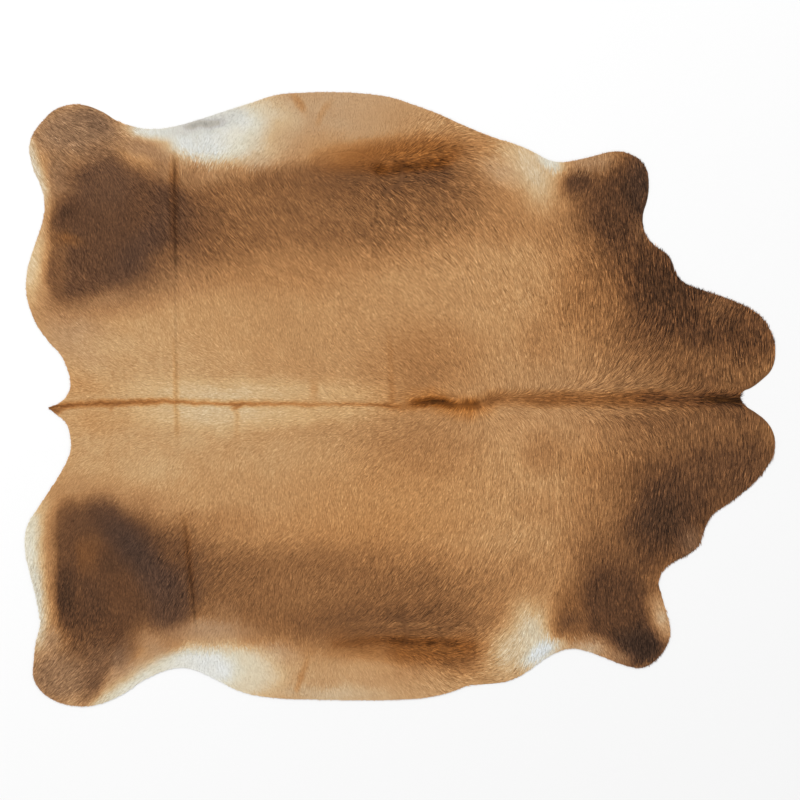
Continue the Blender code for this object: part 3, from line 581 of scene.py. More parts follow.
class Lattice:
    """A square lattice over the hide, and values held on it."""

    def __init__(self, step, margin=0.05):
        low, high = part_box("hide")
        self.step = step
        self.x0, self.y0 = low.x - margin, low.y - margin
        self.nx = int((high.x - low.x + 2 * margin) / step) + 2
        self.ny = int((high.y - low.y + 2 * margin) / step) + 2

    def points(self):
        """x and y of every lattice point, row by row."""
        return np.meshgrid(self.x0 + self.step * np.arange(self.nx), self.y0 + self.step * np.arange(self.ny))

    def read(self, values, x, y):
        """Values between the lattice points, blended from the nearest four."""
        u = np.clip((x - self.x0) / self.step, 0, self.nx - 1.001)
        v = np.clip((y - self.y0) / self.step, 0, self.ny - 1.001)
        i, j = u.astype(int), v.astype(int)
        fu, fv = u - i, v - j
        low = values[j, i] * (1 - fu) + values[j, i + 1] * fu
        high = values[j + 1, i] * (1 - fu) + values[j + 1, i + 1] * fu
        return low * (1 - fv) + high * fv

    def nearest(self, values, x, y):
        """Values at the nearest lattice points."""
        i = np.clip(((x - self.x0) / self.step + 0.5).astype(int), 0, self.nx - 1)
        j = np.clip(((y - self.y0) / self.step + 0.5).astype(int), 0, self.ny - 1)
        return values[j, i]

    def inside(self, edge):
        """True at the lattice points that the outline holds."""
        rows = self.y0 + self.step * np.arange(self.ny)
        columns = self.x0 + self.step * np.arange(self.nx)
        held = np.zeros((self.ny, self.nx), bool)
        a, b = edge, np.roll(edge, -1, 0)
        for j, y in enumerate(rows):
            cut = (a[:, 1] > y) != (b[:, 1] > y)
            t = (y - a[cut, 1]) / (b[cut, 1] - a[cut, 1])
            crossings = np.sort(a[cut, 0] + t * (b[cut, 0] - a[cut, 0]))
            held[j] = np.searchsorted(crossings, columns) % 2 == 1
        return held

    def edge_distance(self, edge, reach):
        """Distance inside the outline, and less than nothing outside it, up to reach either way."""
        gap = np.full((self.ny, self.nx), reach)
        fine = resampled(edge, self.step * 0.8)
        cells = int(reach / self.step) + 1
        for px, py in fine:
            i, j = int((px - self.x0) / self.step), int((py - self.y0) / self.step)
            i0, i1 = max(i - cells, 0), min(i + cells + 2, self.nx)
            j0, j1 = max(j - cells, 0), min(j + cells + 2, self.ny)
            dx = self.x0 + self.step * np.arange(i0, i1) - px
            dy = self.y0 + self.step * np.arange(j0, j1) - py
            part = gap[j0:j1, i0:i1]
            np.minimum(part, np.hypot(dx[None, :], dy[:, None]), out=part)
        return np.where(self.inside(edge), gap, -gap)


def patchy(x, y, size, seed):
    """Smooth random values from -1 to 1, with patches of about that size."""
    table = np.random.default_rng(seed).uniform(-1, 1, (PATCH_CELLS, PATCH_CELLS))
    u, v = x / size + PATCH_CELLS / 2, y / size + PATCH_CELLS / 2
    i, j = np.floor(u).astype(int), np.floor(v).astype(int)
    fu, fv = u - i, v - j
    fu, fv = fu * fu * (3 - 2 * fu), fv * fv * (3 - 2 * fv)
    (i, next_i), (j, next_j) = ((k % PATCH_CELLS, (k + 1) % PATCH_CELLS) for k in (i, j))
    a, b, c, d = table[j, i], table[j, next_i], table[next_j, i], table[next_j, next_i]
    return (a * (1 - fu) + b * fu) * (1 - fv) + (c * (1 - fu) + d * fu) * fv


# The coat's tones and lie

def washed_tones(x, y):
    """Tone and warmth of the coat's soft patches, whose edges wander as a real coat's do."""
    wide, narrow = WANDER_SIZES
    wx = x + WANDER * (patchy(x, y, wide, 11) + 0.5 * patchy(x, y, narrow, 12))
    wy = y + WANDER * (patchy(x, y, wide, 13) + 0.5 * patchy(x, y, narrow, 14))
    tone, warmth = np.full(x.shape, BASE_TONE), np.zeros(x.shape)
    for wash in WASHES:
        mx, my = spot(wash.x, wash.y)
        turn = math.radians(wash.turn)
        dx, dy = (wx - mx) / PLAN_UNIT, (wy - my) / PLAN_UNIT
        u = (dx * math.cos(turn) + dy * math.sin(turn)) / wash.half_length
        v = (dy * math.cos(turn) - dx * math.sin(turn)) / wash.half_width
        share = wash.hold * (1 - smooth(1 - wash.soft, 1 + wash.soft, np.hypot(u, v)))
        tone += share * (wash.tone - tone)
        warmth += share * (wash.warmth - warmth)
    tone += MOTTLE * (patchy(x, y, MOTTLE_SIZES[0], 17) + patchy(x, y, MOTTLE_SIZES[1], 18))
    return tone, warmth


def stroke_share(x, y, stroke):
    """How far each place takes up a narrow mark, from 0 to 1."""
    share = np.zeros(x.shape)
    reach = stroke.half_width * (1 + stroke.soft) * PLAN_UNIT
    route = [(*spot(px, py), held) for px, py, held in stroke.route]
    for (ax, ay, a_held), (bx, by, b_held) in zip(route, route[1:]):
        near = ((x > min(ax, bx) - reach) & (x < max(ax, bx) + reach)
                & (y > min(ay, by) - reach) & (y < max(ay, by) + reach))
        px, py = x[near] - ax, y[near] - ay
        part = np.clip((px * (bx - ax) + py * (by - ay)) / ((bx - ax) ** 2 + (by - ay) ** 2), 0, 1)
        gap = np.hypot(px - part * (bx - ax), py - part * (by - ay)) / (stroke.half_width * PLAN_UNIT)
        held = (a_held + part * (b_held - a_held)) * (1 - smooth(1 - stroke.soft, 1 + stroke.soft, gap))
        share[near] = np.maximum(share[near], held)
    return share


def stroked_tones(x, y, tone, warmth):
    """The tones again with the narrow marks laid over them, their edges a little ragged."""
    wx = x + STROKE_WANDER * patchy(x, y, STROKE_WANDER_SIZE, 15)
    wy = y + STROKE_WANDER * patchy(x, y, STROKE_WANDER_SIZE, 16)
    for stroke in STROKES:
        share = stroke_share(wx, wy, stroke)
        tone = tone + share * (stroke.tone - tone)
        warmth = warmth + share * (stroke.warmth - warmth)
    return tone, warmth


def blended(x, y, table, values, reach):
    """Values at x and y, blended by nearness from those at the table's places."""
    total, weight = np.zeros(x.shape), np.full(x.shape, 1e-12)
    for row, value in zip(table, values):
        px, py = spot(row.x, row.y)
        apart = (x - px) ** 2 + (y - py) ** 2
        near = np.exp(-apart / reach ** 2) + FAR_SHARE / (1 + apart * FAR_FALL)
        total += near * value
        weight += near
    return total / weight


class Coat:
    """The whole coat's fields: how high it lies, which way, and in what tones."""

    def __init__(self, seed):
        self.edge = cut_edge(CAD_HIDE)
        self.wide, self.soft, self.fine = Lattice(WIDE_STEP), Lattice(SOFT_STEP), Lattice(FINE_STEP)
        self.find_lie()
        self.find_heights()
        self.gap = self.soft.edge_distance(self.edge, EDGE_REACH)
        self.tone, self.warmth = washed_tones(*self.soft.points())
        self.find_vigour()
        x, y = self.fine.points()
        long_hair = smooth(*LONG_HAIR, self.wide.read(self.length, x, y))
        short = self.smeared(SHORT_REACH, seed + 1)
        self.locks = short + long_hair * (self.smeared(LONG_REACH, seed + 1) - short)
        self.clumps = self.smeared(CLUMP_REACH, seed + 2)

    def find_lie(self):
        """The hair's lie as the cosine and sine of twice its angle, blended from the table."""
        x, y = self.soft.points()
        twice = [2 * math.radians(lie.turn) for lie in LIES]
        cos2 = blended(x, y, LIES, [math.cos(t) for t in twice], LIE_BLEND)
        sin2 = blended(x, y, LIES, [math.sin(t) for t in twice], LIE_BLEND)
        turn = np.mod(0.5 * np.arctan2(sin2, cos2), math.pi)
        off = (y - self.spine_y(x)) / PLAN_UNIT
        at = plan_x(x)
        ends, above, below = (np.array(part, float) for part in zip(*BENDS))
        reach = np.where(off > 0, np.interp(at, ends, above), np.interp(at, ends, below))
        own = smooth(0.0, 1.0, np.abs(off) / reach)
        own = 1 - smooth(*NECK_STARTS, at) * (1 - own)
        turn = np.where(off > 0, turn * own, math.pi - (math.pi - turn) * own)
        self.cos2, self.sin2 = np.cos(2 * turn), np.sin(2 * turn)

    def lie(self, x, y):
        """Unit directions along the hair, root and tip not told apart."""
        half = 0.5 * np.arctan2(self.soft.read(self.sin2, x, y), self.soft.read(self.cos2, x, y))
        return np.cos(half), np.sin(half)

    def flow(self, x, y):
        """Unit directions from root to tip: away from the spine and a little towards the tail or, on the
        neck, away from it, and away from the whorls on the flanks."""
        dx, dy = self.lie(x, y)
        neck = smooth(*NECK_STARTS, plan_x(x))
        away = BACKWARD * (2 * neck - 1) * dx + np.where(y > self.spine_y(x), 1.0, -1.0) * dy
        for whorl in WHORLS:
            middle_x, middle_y = spot(*whorl)
            ox, oy = x - middle_x, y - middle_y
            near = np.exp(-((ox / WHORL_SIZE[0]) ** 2 + (oy / WHORL_SIZE[1]) ** 2)) * WHORL_PULL
            away = away + near * (ox * dx * WHORL_SPREAD[0] + oy * dy * WHORL_SPREAD[1])
        turn = np.where(away < 0, -1.0, 1.0)
        return dx * turn, dy * turn

    def spine_y(self, x):
        """Where the parting along the spine runs."""
        px, py = on_plan(*np.array(SPINE).T)
        return np.interp(x, px, py)

    def find_vigour(self):
        """How strongly the coat is streaked, and how long its locks are, blended from the table."""
        x, y = self.wide.points()
        self.contrast = blended(x, y, VIGOURS, [v.contrast for v in VIGOURS], VIGOUR_BLEND)
        self.length = blended(x, y, VIGOURS, [v.length * 0.001 for v in VIGOURS], VIGOUR_BLEND)

    def find_heights(self):
        """Heights of the solid's coat side, from rays down onto it."""
        mesh = CAD_HIDE.data
        tree = BVHTree.FromPolygons([v.co for v in mesh.vertices], [tuple(p.vertices) for p in mesh.polygons])
        x, y = self.soft.points()
        held = self.soft.inside(inset(self.edge, HEIGHT_INSET))
        heights = np.full(x.shape, np.nan)
        for j, i in zip(*np.nonzero(held)):
            hit = tree.ray_cast((x[j, i], y[j, i], RAY_START), (0, 0, -1))[0]
            if hit is not None:
                heights[j, i] = hit.z
        for _ in range(FILL_ROUNDS):
            empty = np.isnan(heights)
            around = np.stack([np.roll(heights, s, a) for s, a in ((1, 0), (-1, 0), (1, 1), (-1, 1))])
            known = (~np.isnan(around)).sum(0)
            fill = np.nansum(around, 0) / np.maximum(known, 1)
            heights = np.where(empty & (known > 0), fill, heights)
        self.heights = np.nan_to_num(heights, nan=EDGE_HEIGHT)

    def smeared(self, reach, seed):
        """Random values drawn out along the hair, from about -1 to 1: the coat's streaks."""
        x, y = self.fine.points()
        noise = np.random.default_rng(seed).normal(0, 1, x.shape)
        lie_x, lie_y = self.lie(x, y)
        total = noise.copy()
        steps = int(reach / self.fine.step)
        for way in (1.0, -1.0):
            px, py, hx, hy = x, y, lie_x * way, lie_y * way
            for _ in range(steps):
                px, py = px + hx * self.fine.step, py + hy * self.fine.step
                total += self.fine.nearest(noise, px, py)
                nx, ny = self.fine.nearest(lie_x, px, py), self.fine.nearest(lie_y, px, py)
                same = np.sign(nx * hx + ny * hy)
                hx, hy = nx * same, ny * same
        return total / total.std() * 0.5


@functools.lru_cache(maxsize=1)
def coat_of_hide(seed):
    """The coat's fields, worked out once for all the pieces."""
    return Coat(seed)


# Meshes

def placed(name, data):
    """A new object of that name in the scene, with its mesh, light or camera."""
    thing = bpy.data.objects.new(name, data)
    bpy.context.scene.collection.objects.link(thing)
    return thing


def mesh_piece(name, points, faces, smooth_shaded=True):
    """A new object of that name, with its mesh in the part's frame."""
    mesh = bpy.data.meshes.new(name)
    mesh.from_pydata([tuple(p) for p in points], [], [tuple(f) for f in faces])
    mesh.shade_smooth() if smooth_shaded else mesh.shade_flat()
    return placed(name, mesh)


def triangle_piece(name, points, triangles):
    """As mesh_piece, for many triangles at once from arrays."""
    mesh = bpy.data.meshes.new(name)
    mesh.vertices.add(len(points))
    mesh.vertices.foreach_set("co", points.astype(np.float32).ravel())
    mesh.loops.add(triangles.size)
    mesh.loops.foreach_set("vertex_index", triangles.astype(np.int32).ravel())
    mesh.polygons.add(len(triangles))
    mesh.polygons.foreach_set("loop_start", np.arange(0, triangles.size, 3, dtype=np.int32))
    mesh.update(calc_edges=True)
    mesh.validate()
    mesh.shade_smooth()
    return placed(name, mesh)


def point_values(mesh, **values):
    """Stores named numbers on the mesh's points for its material to read."""
    for name, numbers in values.items():
        held = mesh.attributes.new(name, "FLOAT", "POINT")
        held.data.foreach_set("value", numbers.astype(np.float32).ravel())


def unwrapped(mesh, corners):
    """Gives the mesh its map, from two numbers for each face corner."""
    mesh.uv_layers.new(name="OFBake").data.foreach_set("uv", corners.astype(np.float32).ravel())


def skin_side(coat, sizes, side, ring, step):
    """Points and faces of the skin's coat side, or of its suede side at the floor, within a rim."""
    lattice = Lattice(step)
    x, y = lattice.points()
    x = x + (np.arange(lattice.ny) % 2)[:, None] * step / 2
    clear = coat.soft.read(coat.gap, x, y) > step * SPOT_CLEARANCE + TOP_INSET
    flat = [(float(a), float(b)) for a, b in np.vstack([ring, np.stack([x[clear], y[clear]], 1)])]
    border = [(i, (i + 1) % len(ring)) for i in range(len(ring))]
    found = delaunay_2d_cdt(flat, border, [list(range(len(ring)))], 1, 1e-7)
    if len(found[0]) != len(flat):
        raise RuntimeError("the skin's outline crosses itself")
    at = np.array([tuple(v) for v in found[0]])
    heights = np.zeros(len(at))
    if side > 0:
        heights = coat.soft.read(coat.heights, at[:, 0], at[:, 1]) - sizes.pile_depth
        heights = np.maximum(heights, RIM_HEIGHT)
        heights[:len(ring)] = RIM_HEIGHT
    return np.column_stack([at, heights]), [face if side > 0 else face[::-1] for face in found[2]]


def hide_skin(sizes):
    """The tanned skin with its dense undercoat, closed all round: coat side up, suede side down."""
    coat = coat_of_hide(sizes.seed)
    rim = resampled(coat.edge, RIM_STEP)
    top, top_faces = skin_side(coat, sizes, 1, inset(rim, TOP_INSET), SKIN_STEP)
    low, low_faces = skin_side(coat, sizes, -1, inset(rim, LOW_INSET), SUEDE_STEP)
    count, below = len(rim), len(top)
    faces = top_faces + [[below + i for i in face] for face in low_faces]
    faces += [(below + i, below + (i + 1) % count, (i + 1) % count, i) for i in range(count)]
    sides = [1] * len(top_faces) + [-1] * len(low_faces) + [0] * count
    points = np.vstack([top, low])
    piece = mesh_piece("hide_skin", points, faces)
    mesh = piece.data
    x, y = points[:, 0], points[:, 1]
    tone, warmth = stroked_tones(x, y, coat.soft.read(coat.tone, x, y), coat.soft.read(coat.warmth, x, y))
    lively = liveliness(coat.wide.read(coat.contrast, x, y))
    # The undercoat is given the roots' darker tone: partly their own colour, partly painted shade deep in the
    # pile.
    point_values(mesh, coat_tone=tone, coat_warmth=warmth, coat_along=0.5 - UNDERCOAT_DEPTH * lively,
                 coat_streak=coat.fine.read(coat.locks, x, y) * UNDERCOAT_STREAKS * lively)
    mesh.polygons.foreach_set("material_index", np.array([0 if side > 0 else 1 for side in sides], np.int32))
    unwrapped(mesh, skin_map(mesh, sides))
    return piece


def skin_map(mesh, sides):
    """The skin's map: its coat side above, its suede side below, the cut edge between them."""
    low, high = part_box("hide")
    corners = []
    for face, side in zip(mesh.polygons, sides):
        start, tall, by_thickness = MAP_BANDS[side]
        for index in face.vertices:
            x, y, z = mesh.vertices[index].co
            u, v = (x - low.x) / (high.x - low.x), (y - low.y) / (high.y - low.y)
            corners.append((MAP_MARGIN + (1 - 2 * MAP_MARGIN) * u, start + tall * v + by_thickness * z))
    return np.array(corners)


def scattered_roots(coat, count, rng):
    """Roots spread evenly over the hide, each a little off its place."""
    low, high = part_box("hide")
    step = math.sqrt(HIDE_AREA / count)
    x, y = np.meshgrid(np.arange(low.x, high.x, step), np.arange(low.y, high.y, step))
    x = x + rng.uniform(-0.5, 0.5, x.shape) * step
    y = y + rng.uniform(-0.5, 0.5, x.shape) * step
    held = coat.soft.read(coat.gap, x, y) > ROOT_MARGIN
    x, y = x[held], y[held]
    kept = np.sort(rng.permutation(len(x))[:count])
    return x[kept], y[kept]


def liveliness(contrast):
    """How much a hair lightens from root to tip, partly its own colour and partly painted shade at the root:
    less where the coat is smooth.
    """
    return np.clip(contrast / LIVELY_CONTRAST, LEAST_LIVELY, 1.0)


def trimmed(coat, x, y, tip_x, tip_y, overhang):
    """Share of its length that each lock keeps, so that it ends at its overhang past the cut edge."""
    inward, outward = coat.soft.read(coat.gap, x, y), coat.soft.read(coat.gap, tip_x, tip_y)
    fits = np.clip((inward + overhang) / np.maximum(inward - outward, 1e-6), 0.1, 1)
    return np.where(outward < -overhang, fits, 1.0)


def lock_meshes(sizes):
    """Shapes and values of all the locks of hair: four points and two triangles each."""
    coat = coat_of_hide(sizes.seed)
    rng = np.random.default_rng(sizes.seed + 3)
    # Root (x, y), and the way (dx, dy) to the widest place.
    x, y = scattered_roots(coat, sizes.lock_count, rng)
    n = len(x)
    length = coat.wide.read(coat.length, x, y) * sizes.lock_length * rng.uniform(*UNEVEN, n)
    contrast = coat.wide.read(coat.contrast, x, y)
    rough = np.clip(contrast / ROUGH_CONTRAST, *ROUGHNESS)
    dx, dy = coat.flow(x, y)
    yaw = np.radians(rng.normal(0, LOCK_YAW, n))
    dx, dy = dx * np.cos(yaw) - dy * np.sin(yaw), dx * np.sin(yaw) + dy * np.cos(yaw)
    shaggy = 1 + NECK_FRINGE * smooth(*on_plan(FRINGE_STARTS, 0)[0], x)
    overhang = sizes.overhang * shaggy * rng.exponential(OVERHANG_SPREAD, n).clip(0, OVERHANG_MOST)
    length *= trimmed(coat, x, y, x + dx * length, y + dy * length, overhang)
    # Widest place (mx, my), and from there the way (ex, ey) to the tip (tx, ty).
    mx, my = x + dx * length * WIDEST, y + dy * length * WIDEST
    ex, ey = coat.lie(mx, my)
    same = np.where(ex * dx + ey * dy < 0, -1.0, 1.0)
    ex, ey = ex * same * (1 - OWN_WAY) + dx * OWN_WAY, ey * same * (1 - OWN_WAY) + dy * OWN_WAY
    norm = np.hypot(ex, ey)
    ex, ey = ex / norm, ey / norm
    tx, ty = mx + ex * length * (1 - WIDEST), my + ey * length * (1 - WIDEST)
    # Heights: the root deep in the pile, the tip off the coat, and bent down past the cut edge.
    clump = coat.fine.read(coat.locks, mx, my)
    lift = sizes.tip_lift * np.minimum(length / FULL_LIFT_LENGTH, 1.0) * rough
    root_z = coat.soft.read(coat.heights, x, y) - sizes.pile_depth * ROOT_DEPTH
    mid_lift = MID_LIFT * rng.normal(0, 1, n) + CLUMP_LIFT * clump - MID_SINK
    mid_z = coat.soft.read(coat.heights, mx, my) + lift * mid_lift
    tip_z = coat.soft.read(coat.heights, tx, ty) + lift * (rng.uniform(*TIP_LIFTS, n) + CLUMP_LIFT * clump)
    tip_z = tip_z - smooth(0.0, DROOP_REACH, -coat.soft.read(coat.gap, tx, ty)) * DROOP
    roll = np.radians(rng.normal(0, LOCK_ROLL, n)) * rough
    half = sizes.lock_width / 2 * rng.uniform(*UNEVEN, n)
    points = np.empty((n, 4, 3))
    kite = ((x, y, root_z, 0.0), (mx, my, mid_z, -1.0), (tx, ty, tip_z, 0.0), (mx, my, mid_z, 1.0))
    for k, (px, py, pz, part) in enumerate(kite):
        points[:, k, 0] = px - ey * half * part * np.cos(roll)
        points[:, k, 1] = py + ex * half * part * np.cos(roll)
        points[:, k, 2] = np.maximum(pz + half * part * np.sin(roll), LOWEST_HAIR)
    # Colours: one soft patch for the whole lock, narrow marks and streaks for each of its points.
    share = TONE_PLACE + rng.normal(0, TONE_SPREAD, n)
    seen_x, seen_y = x + (tx - x) * share, y + (ty - y) * share
    tone = np.repeat(coat.soft.read(coat.tone, seen_x, seen_y), 4)
    warmth = np.repeat(coat.soft.read(coat.warmth, seen_x, seen_y), 4)
    px, py = points[:, :, 0].ravel(), points[:, :, 1].ravel()
    tone, warmth = stroked_tones(px, py, tone, warmth)
    own = np.repeat(rng.normal(0, 1, n), 4)
    streak = STREAKS * coat.fine.read(coat.locks, px, py) + CLUMPS * coat.fine.read(coat.clumps, px, py)
    streak = (streak + OWN * own) * (np.repeat(contrast, 4) / 255.0)
    place = np.tile((0.0, WIDEST, 1.0, WIDEST), n)
    along = 0.5 + (place - 0.5) * np.repeat(liveliness(contrast), 4)
    return points, dict(coat_tone=tone, coat_warmth=warmth, coat_streak=streak, coat_along=along)


def lock_map(count):
    """Each lock's own small cell of the map, root to tip along its height."""
    columns = int(math.ceil(math.sqrt(count * 2)))
    lines = int(math.ceil(count / columns))
    corner = np.array([(0.5, 0.03), (0.95, WIDEST), (0.5, 0.97), (0.05, WIDEST)])
    place = np.stack([np.arange(count) % columns, np.arange(count) // columns], 1)
    at = (place[:, None, :] + corner[None, :, :]) * (1.0 / columns, 1.0 / lines)
    return at[:, LOCK_TRIANGLES, :].reshape(-1, 2)


def coat_pieces(sizes):
    """The locks as one mesh for each stretch of the hide, from the rump to the neck."""
    points, values = lock_meshes(sizes)
    order = np.argsort(points[:, 0, 0])
    pieces = []
    for name, share in zip(COAT_PIECES, np.array_split(order, len(COAT_PIECES))):
        strip = np.floor(points[share, 0, 0] / COAT_STRIP)
        share = share[np.argsort(strip * 10 + points[share, 0, 1])]
        corners = (np.arange(len(share))[:, None, None] * 4 + LOCK_TRIANGLES).reshape(-1, 3)
        piece = triangle_piece(name, points[share].reshape(-1, 3), corners)
        point_values(piece.data, **{key: v.reshape(-1, 4)[share] for key, v in values.items()})
        unwrapped(piece.data, lock_map(len(share)))
        pieces.append(piece)
    return pieces


# Materials

def linear(red, green, blue):
    """A display colour of 0 to 255 as Blender's own linear one."""
    def one(value):
        part = value / 255.0
        return part / 12.92 if part <= 0.04045 else ((part + 0.055) / 1.055) ** 2.4
    return one(red), one(green), one(blue)


class Nodes:
    """Short ways to add and join nodes in one tree."""

    def __init__(self, tree):
        self.tree = tree

    def feed(self, node, inputs):
        """Links each input to another node's output, or sets it to a plain value."""
        for name, value in inputs.items():
            if hasattr(value, "links"):
                self.tree.links.new(value, node.inputs[name])
            else:
                node.inputs[name].default_value = value

    def add(self, kind, label="", inputs=None, **settings):
        """A node with its label, settings and inputs."""
        node = self.tree.nodes.new(kind)
        node.label = label
        for name, value in settings.items():
            setattr(node, name, value)
        self.feed(node, inputs or {})
        return node

    def math(self, operation, *values, clamp=False, label=""):
        """What comes of up to three sockets or numbers."""
        inputs = dict(enumerate(values))
        return self.add("ShaderNodeMath", label, inputs, operation=operation, use_clamp=clamp).outputs[0]

    def place(self):
        """Each point's place in the part's own space."""
        return self.add("ShaderNodeTexCoord").outputs["Object"]

    def reach_along(self, place, start, way):
        """How far a place lies from start along a direction on the floor."""
        node = self.add("ShaderNodeVectorMath", "", {0: place, 1: (*way, 0.0)}, operation="DOT_PRODUCT")
        return self.math("SUBTRACT", node.outputs["Value"], start[0] * way[0] + start[1] * way[1])

    def fading(self, value, low, high):
        """1 below low, 0 above high, and an even curve between them."""
        inputs = {"Value": value, "From Min": low, "From Max": high, "To Min": 1.0, "To Max": 0.0}
        return self.add("ShaderNodeMapRange", "", inputs, interpolation_type="SMOOTHSTEP").outputs["Result"]

    def value_of(self, name):
        """A number that the mesh's points carry."""
        return self.add("ShaderNodeAttribute", name, attribute_name=name).outputs["Fac"]

    def noise(self, scale, detail, roughness, place, label):
        """Noise in the part's own space, at that many patches a metre."""
        inputs = {"Scale": scale, "Detail": detail, "Roughness": roughness, "Vector": place}
        return self.add("ShaderNodeTexNoise", label, inputs).outputs["Fac"]

    def ramp(self, value, stops, label):
        """Colours by value, from stops of (value, colour) and blends between them."""
        node = self.add("ShaderNodeValToRGB", label, {"Fac": value})
        held = node.color_ramp.elements
        while len(held) > 1:
            held.remove(held[-1])
        for index, (at, colour) in enumerate(stops):
            stop = held.new(at) if index else held[0]
            stop.position, stop.color = at, (*colour, 1.0)
        return node.outputs["Color"]

    def tinted(self, colour, share, cast, lift, label):
        """The colour multiplied by a lifted cast, as far as share says."""
        inputs = {"Factor": share, "A": colour, "B": (*[part * lift for part in cast], 1.0)}
        return self.add("ShaderNodeMix", label, inputs, data_type="RGBA", blend_type="MULTIPLY",
                        clamp_factor=False).outputs["Result"]


def fold_share(n, place, fold):
    """How far each place lies in a fold's thin line of painted shade, from 0 to 1."""
    (x, y), (end_x, end_y) = spot(fold.x, fold.y), spot(fold.end_x, fold.end_y)
    length = math.hypot(end_x - x, end_y - y)
    way_x, way_y = (end_x - x) / length, (end_y - y) / length
    along = n.reach_along(place, (x, y), (way_x, way_y))
    off = n.math("ABSOLUTE", n.reach_along(place, (x, y), (-way_y, way_x)))
    share = n.fading(off, FOLD_CORE * fold.half_width * PLAN_UNIT, fold.half_width * PLAN_UNIT)
    ends = n.math("MINIMUM", along, n.math("SUBTRACT", length, along))
    kept = n.math("SUBTRACT", 1.0, n.fading(ends, 0.0, FADE * length))
    return n.math("MULTIPLY", share, kept, label=fold.name)


def coat_colour_group(colours):
    """Group that turns a coat's tone, warmth, streak and place along the hair into colour and roughness."""
    found = bpy.data.node_groups.get("Coat colour")
    if found:
        return found
    group = bpy.data.node_groups.new("Coat colour", "ShaderNodeTree")
    face = group.interface
    for name, default in GROUP_INPUTS:
        face.new_socket(name=name, in_out="INPUT", socket_type="NodeSocketFloat").default_value = default
    face.new_socket(name="Color", in_out="OUTPUT", socket_type="NodeSocketColor")
    face.new_socket(name="Roughness", in_out="OUTPUT", socket_type="NodeSocketFloat")
    n = Nodes(group)
    taken = n.add("NodeGroupInput").outputs
    place = n.place()
    # Each hair's own light: along it, streak by streak, and in fine grain. Its darker root is partly the
    # hair's own colour and partly painted shade deep in the pile.
    grain = n.math("SUBTRACT", n.noise(700.0, 3.0, 0.6, place, "hair grain"), 0.5)
    along = n.math("SUBTRACT", taken["Along"], 0.5)
    fine = n.math("MULTIPLY_ADD", along, taken["Tip gain"], taken["Streak"], label="lighter tips")
    fine = n.math("MULTIPLY_ADD", grain, taken["Grain"], fine, label="streaks and grain")
    gain = n.math("MULTIPLY", fine, STREAK_LIGHT)
    gain = n.math("DIVIDE", gain, n.math("MAXIMUM", taken["Tone"], LEAST_TONE))
    gain = n.math("MAXIMUM", n.math("ADD", gain, 1.0), LEAST_LIGHT, label="lighter and darker hairs")
    # Painted shade in the folds' creases, made uneven by noise that is a half on average, so it takes up
    # twice each fold's share.
    crease_shade_noise = n.noise(45.0, 2.0, 0.5, place, "uneven painted shade in the folds")
    # Each fold darkens the hair's light: painted shade of its crease.
    for fold in FOLDS:
        off = n.math("MULTIPLY", fold_share(n, place, fold), n.math("MULTIPLY", crease_shade_noise, 2.0 * fold.dark))
        gain = n.math("MULTIPLY", gain, n.math("SUBTRACT", 1.0, off), label=fold.name)
    # Its colour by tone, redder or greyer by warmth.
    tone = n.math("MULTIPLY_ADD", fine, HUE_SHARE, taken["Tone"], clamp=True, label="tone of the hair")
    colour = n.ramp(tone, coat_stops(colours), "coat colours")
    warm = n.math("MAXIMUM", taken["Warmth"], 0.0)
    cool = n.math("MAXIMUM", n.math("MULTIPLY", taken["Warmth"], -1.0), 0.0)
    colour = n.tinted(colour, warm, colours.warm_cast, WARM_LIFT, "warm hair")
    colour = n.tinted(colour, cool, colours.cool_cast, COOL_LIFT, "cool hair")
    lit = n.add("ShaderNodeVectorMath", "each hair's own lightness", {"Vector": colour, "Scale": gain},
                operation="SCALE")
    rough = n.math("MULTIPLY_ADD", grain, ROUGH_GRAIN, HAIR_ROUGHNESS)
    n.add("NodeGroupOutput", "", {"Color": lit.outputs["Vector"], "Roughness": rough})
    return group


def coat_stops(colours):
    """The coat's colours by tone, from the darkest hair to the white."""
    return ((0.10, colours.blackish), (0.22, colours.dark_brown), (0.30, colours.brown),
            (0.41, colours.mid_brown), (0.53, colours.orange_tan), (0.61, colours.tan),
            (0.69, colours.pale_tan), (0.80, colours.cream), (0.90, colours.white))


def painted(name):
    """A new material, short ways to its nodes, and its shader."""
    material = bpy.data.materials.new(name)
    material.use_nodes = True
    return material, Nodes(material.node_tree), material.node_tree.nodes["Principled BSDF"]


def coat_material(name, colours, tip_gain, grain):
    """Hair: its colour and roughness from the coat group."""
    material, n, shader = painted(name)
    inputs = {socket: n.value_of(held) for socket, held in COAT_VALUES.items()}
    inputs.update({"Tip gain": tip_gain, "Grain": grain})
    group = n.add("ShaderNodeGroup", "coat colour", inputs, node_tree=coat_colour_group(colours))
    n.feed(shader, {"Base Color": group.outputs["Color"], "Roughness": group.outputs["Roughness"],
                    "Specular IOR Level": 0.08})
    return material


def suede_material(colours):
    """The tanned suede side and cut edge of the skin: pale, mottled and napped."""
    material, n, shader = painted("suede")
    place = n.place()
    mottle = n.noise(9.0, 5.0, 0.6, place, "mottled tanning")
    nap = n.noise(420.0, 3.0, 0.7, place, "nap")
    tone = n.math("ADD", mottle, n.math("MULTIPLY_ADD", nap, 0.35, -0.17))
    bump = n.add("ShaderNodeBump", "suede nap", {"Strength": 0.5, "Distance": 0.0006, "Height": nap})
    colour = n.ramp(tone, ((0.3, colours.suede_dark), (0.7, colours.suede)), "suede colours")
    n.feed(shader, {"Base Color": colour, "Roughness": n.math("MULTIPLY_ADD", nap, 0.2, 0.78),
                    "Specular IOR Level": 0.2, "Normal": bump.outputs["Normal"]})
    return material


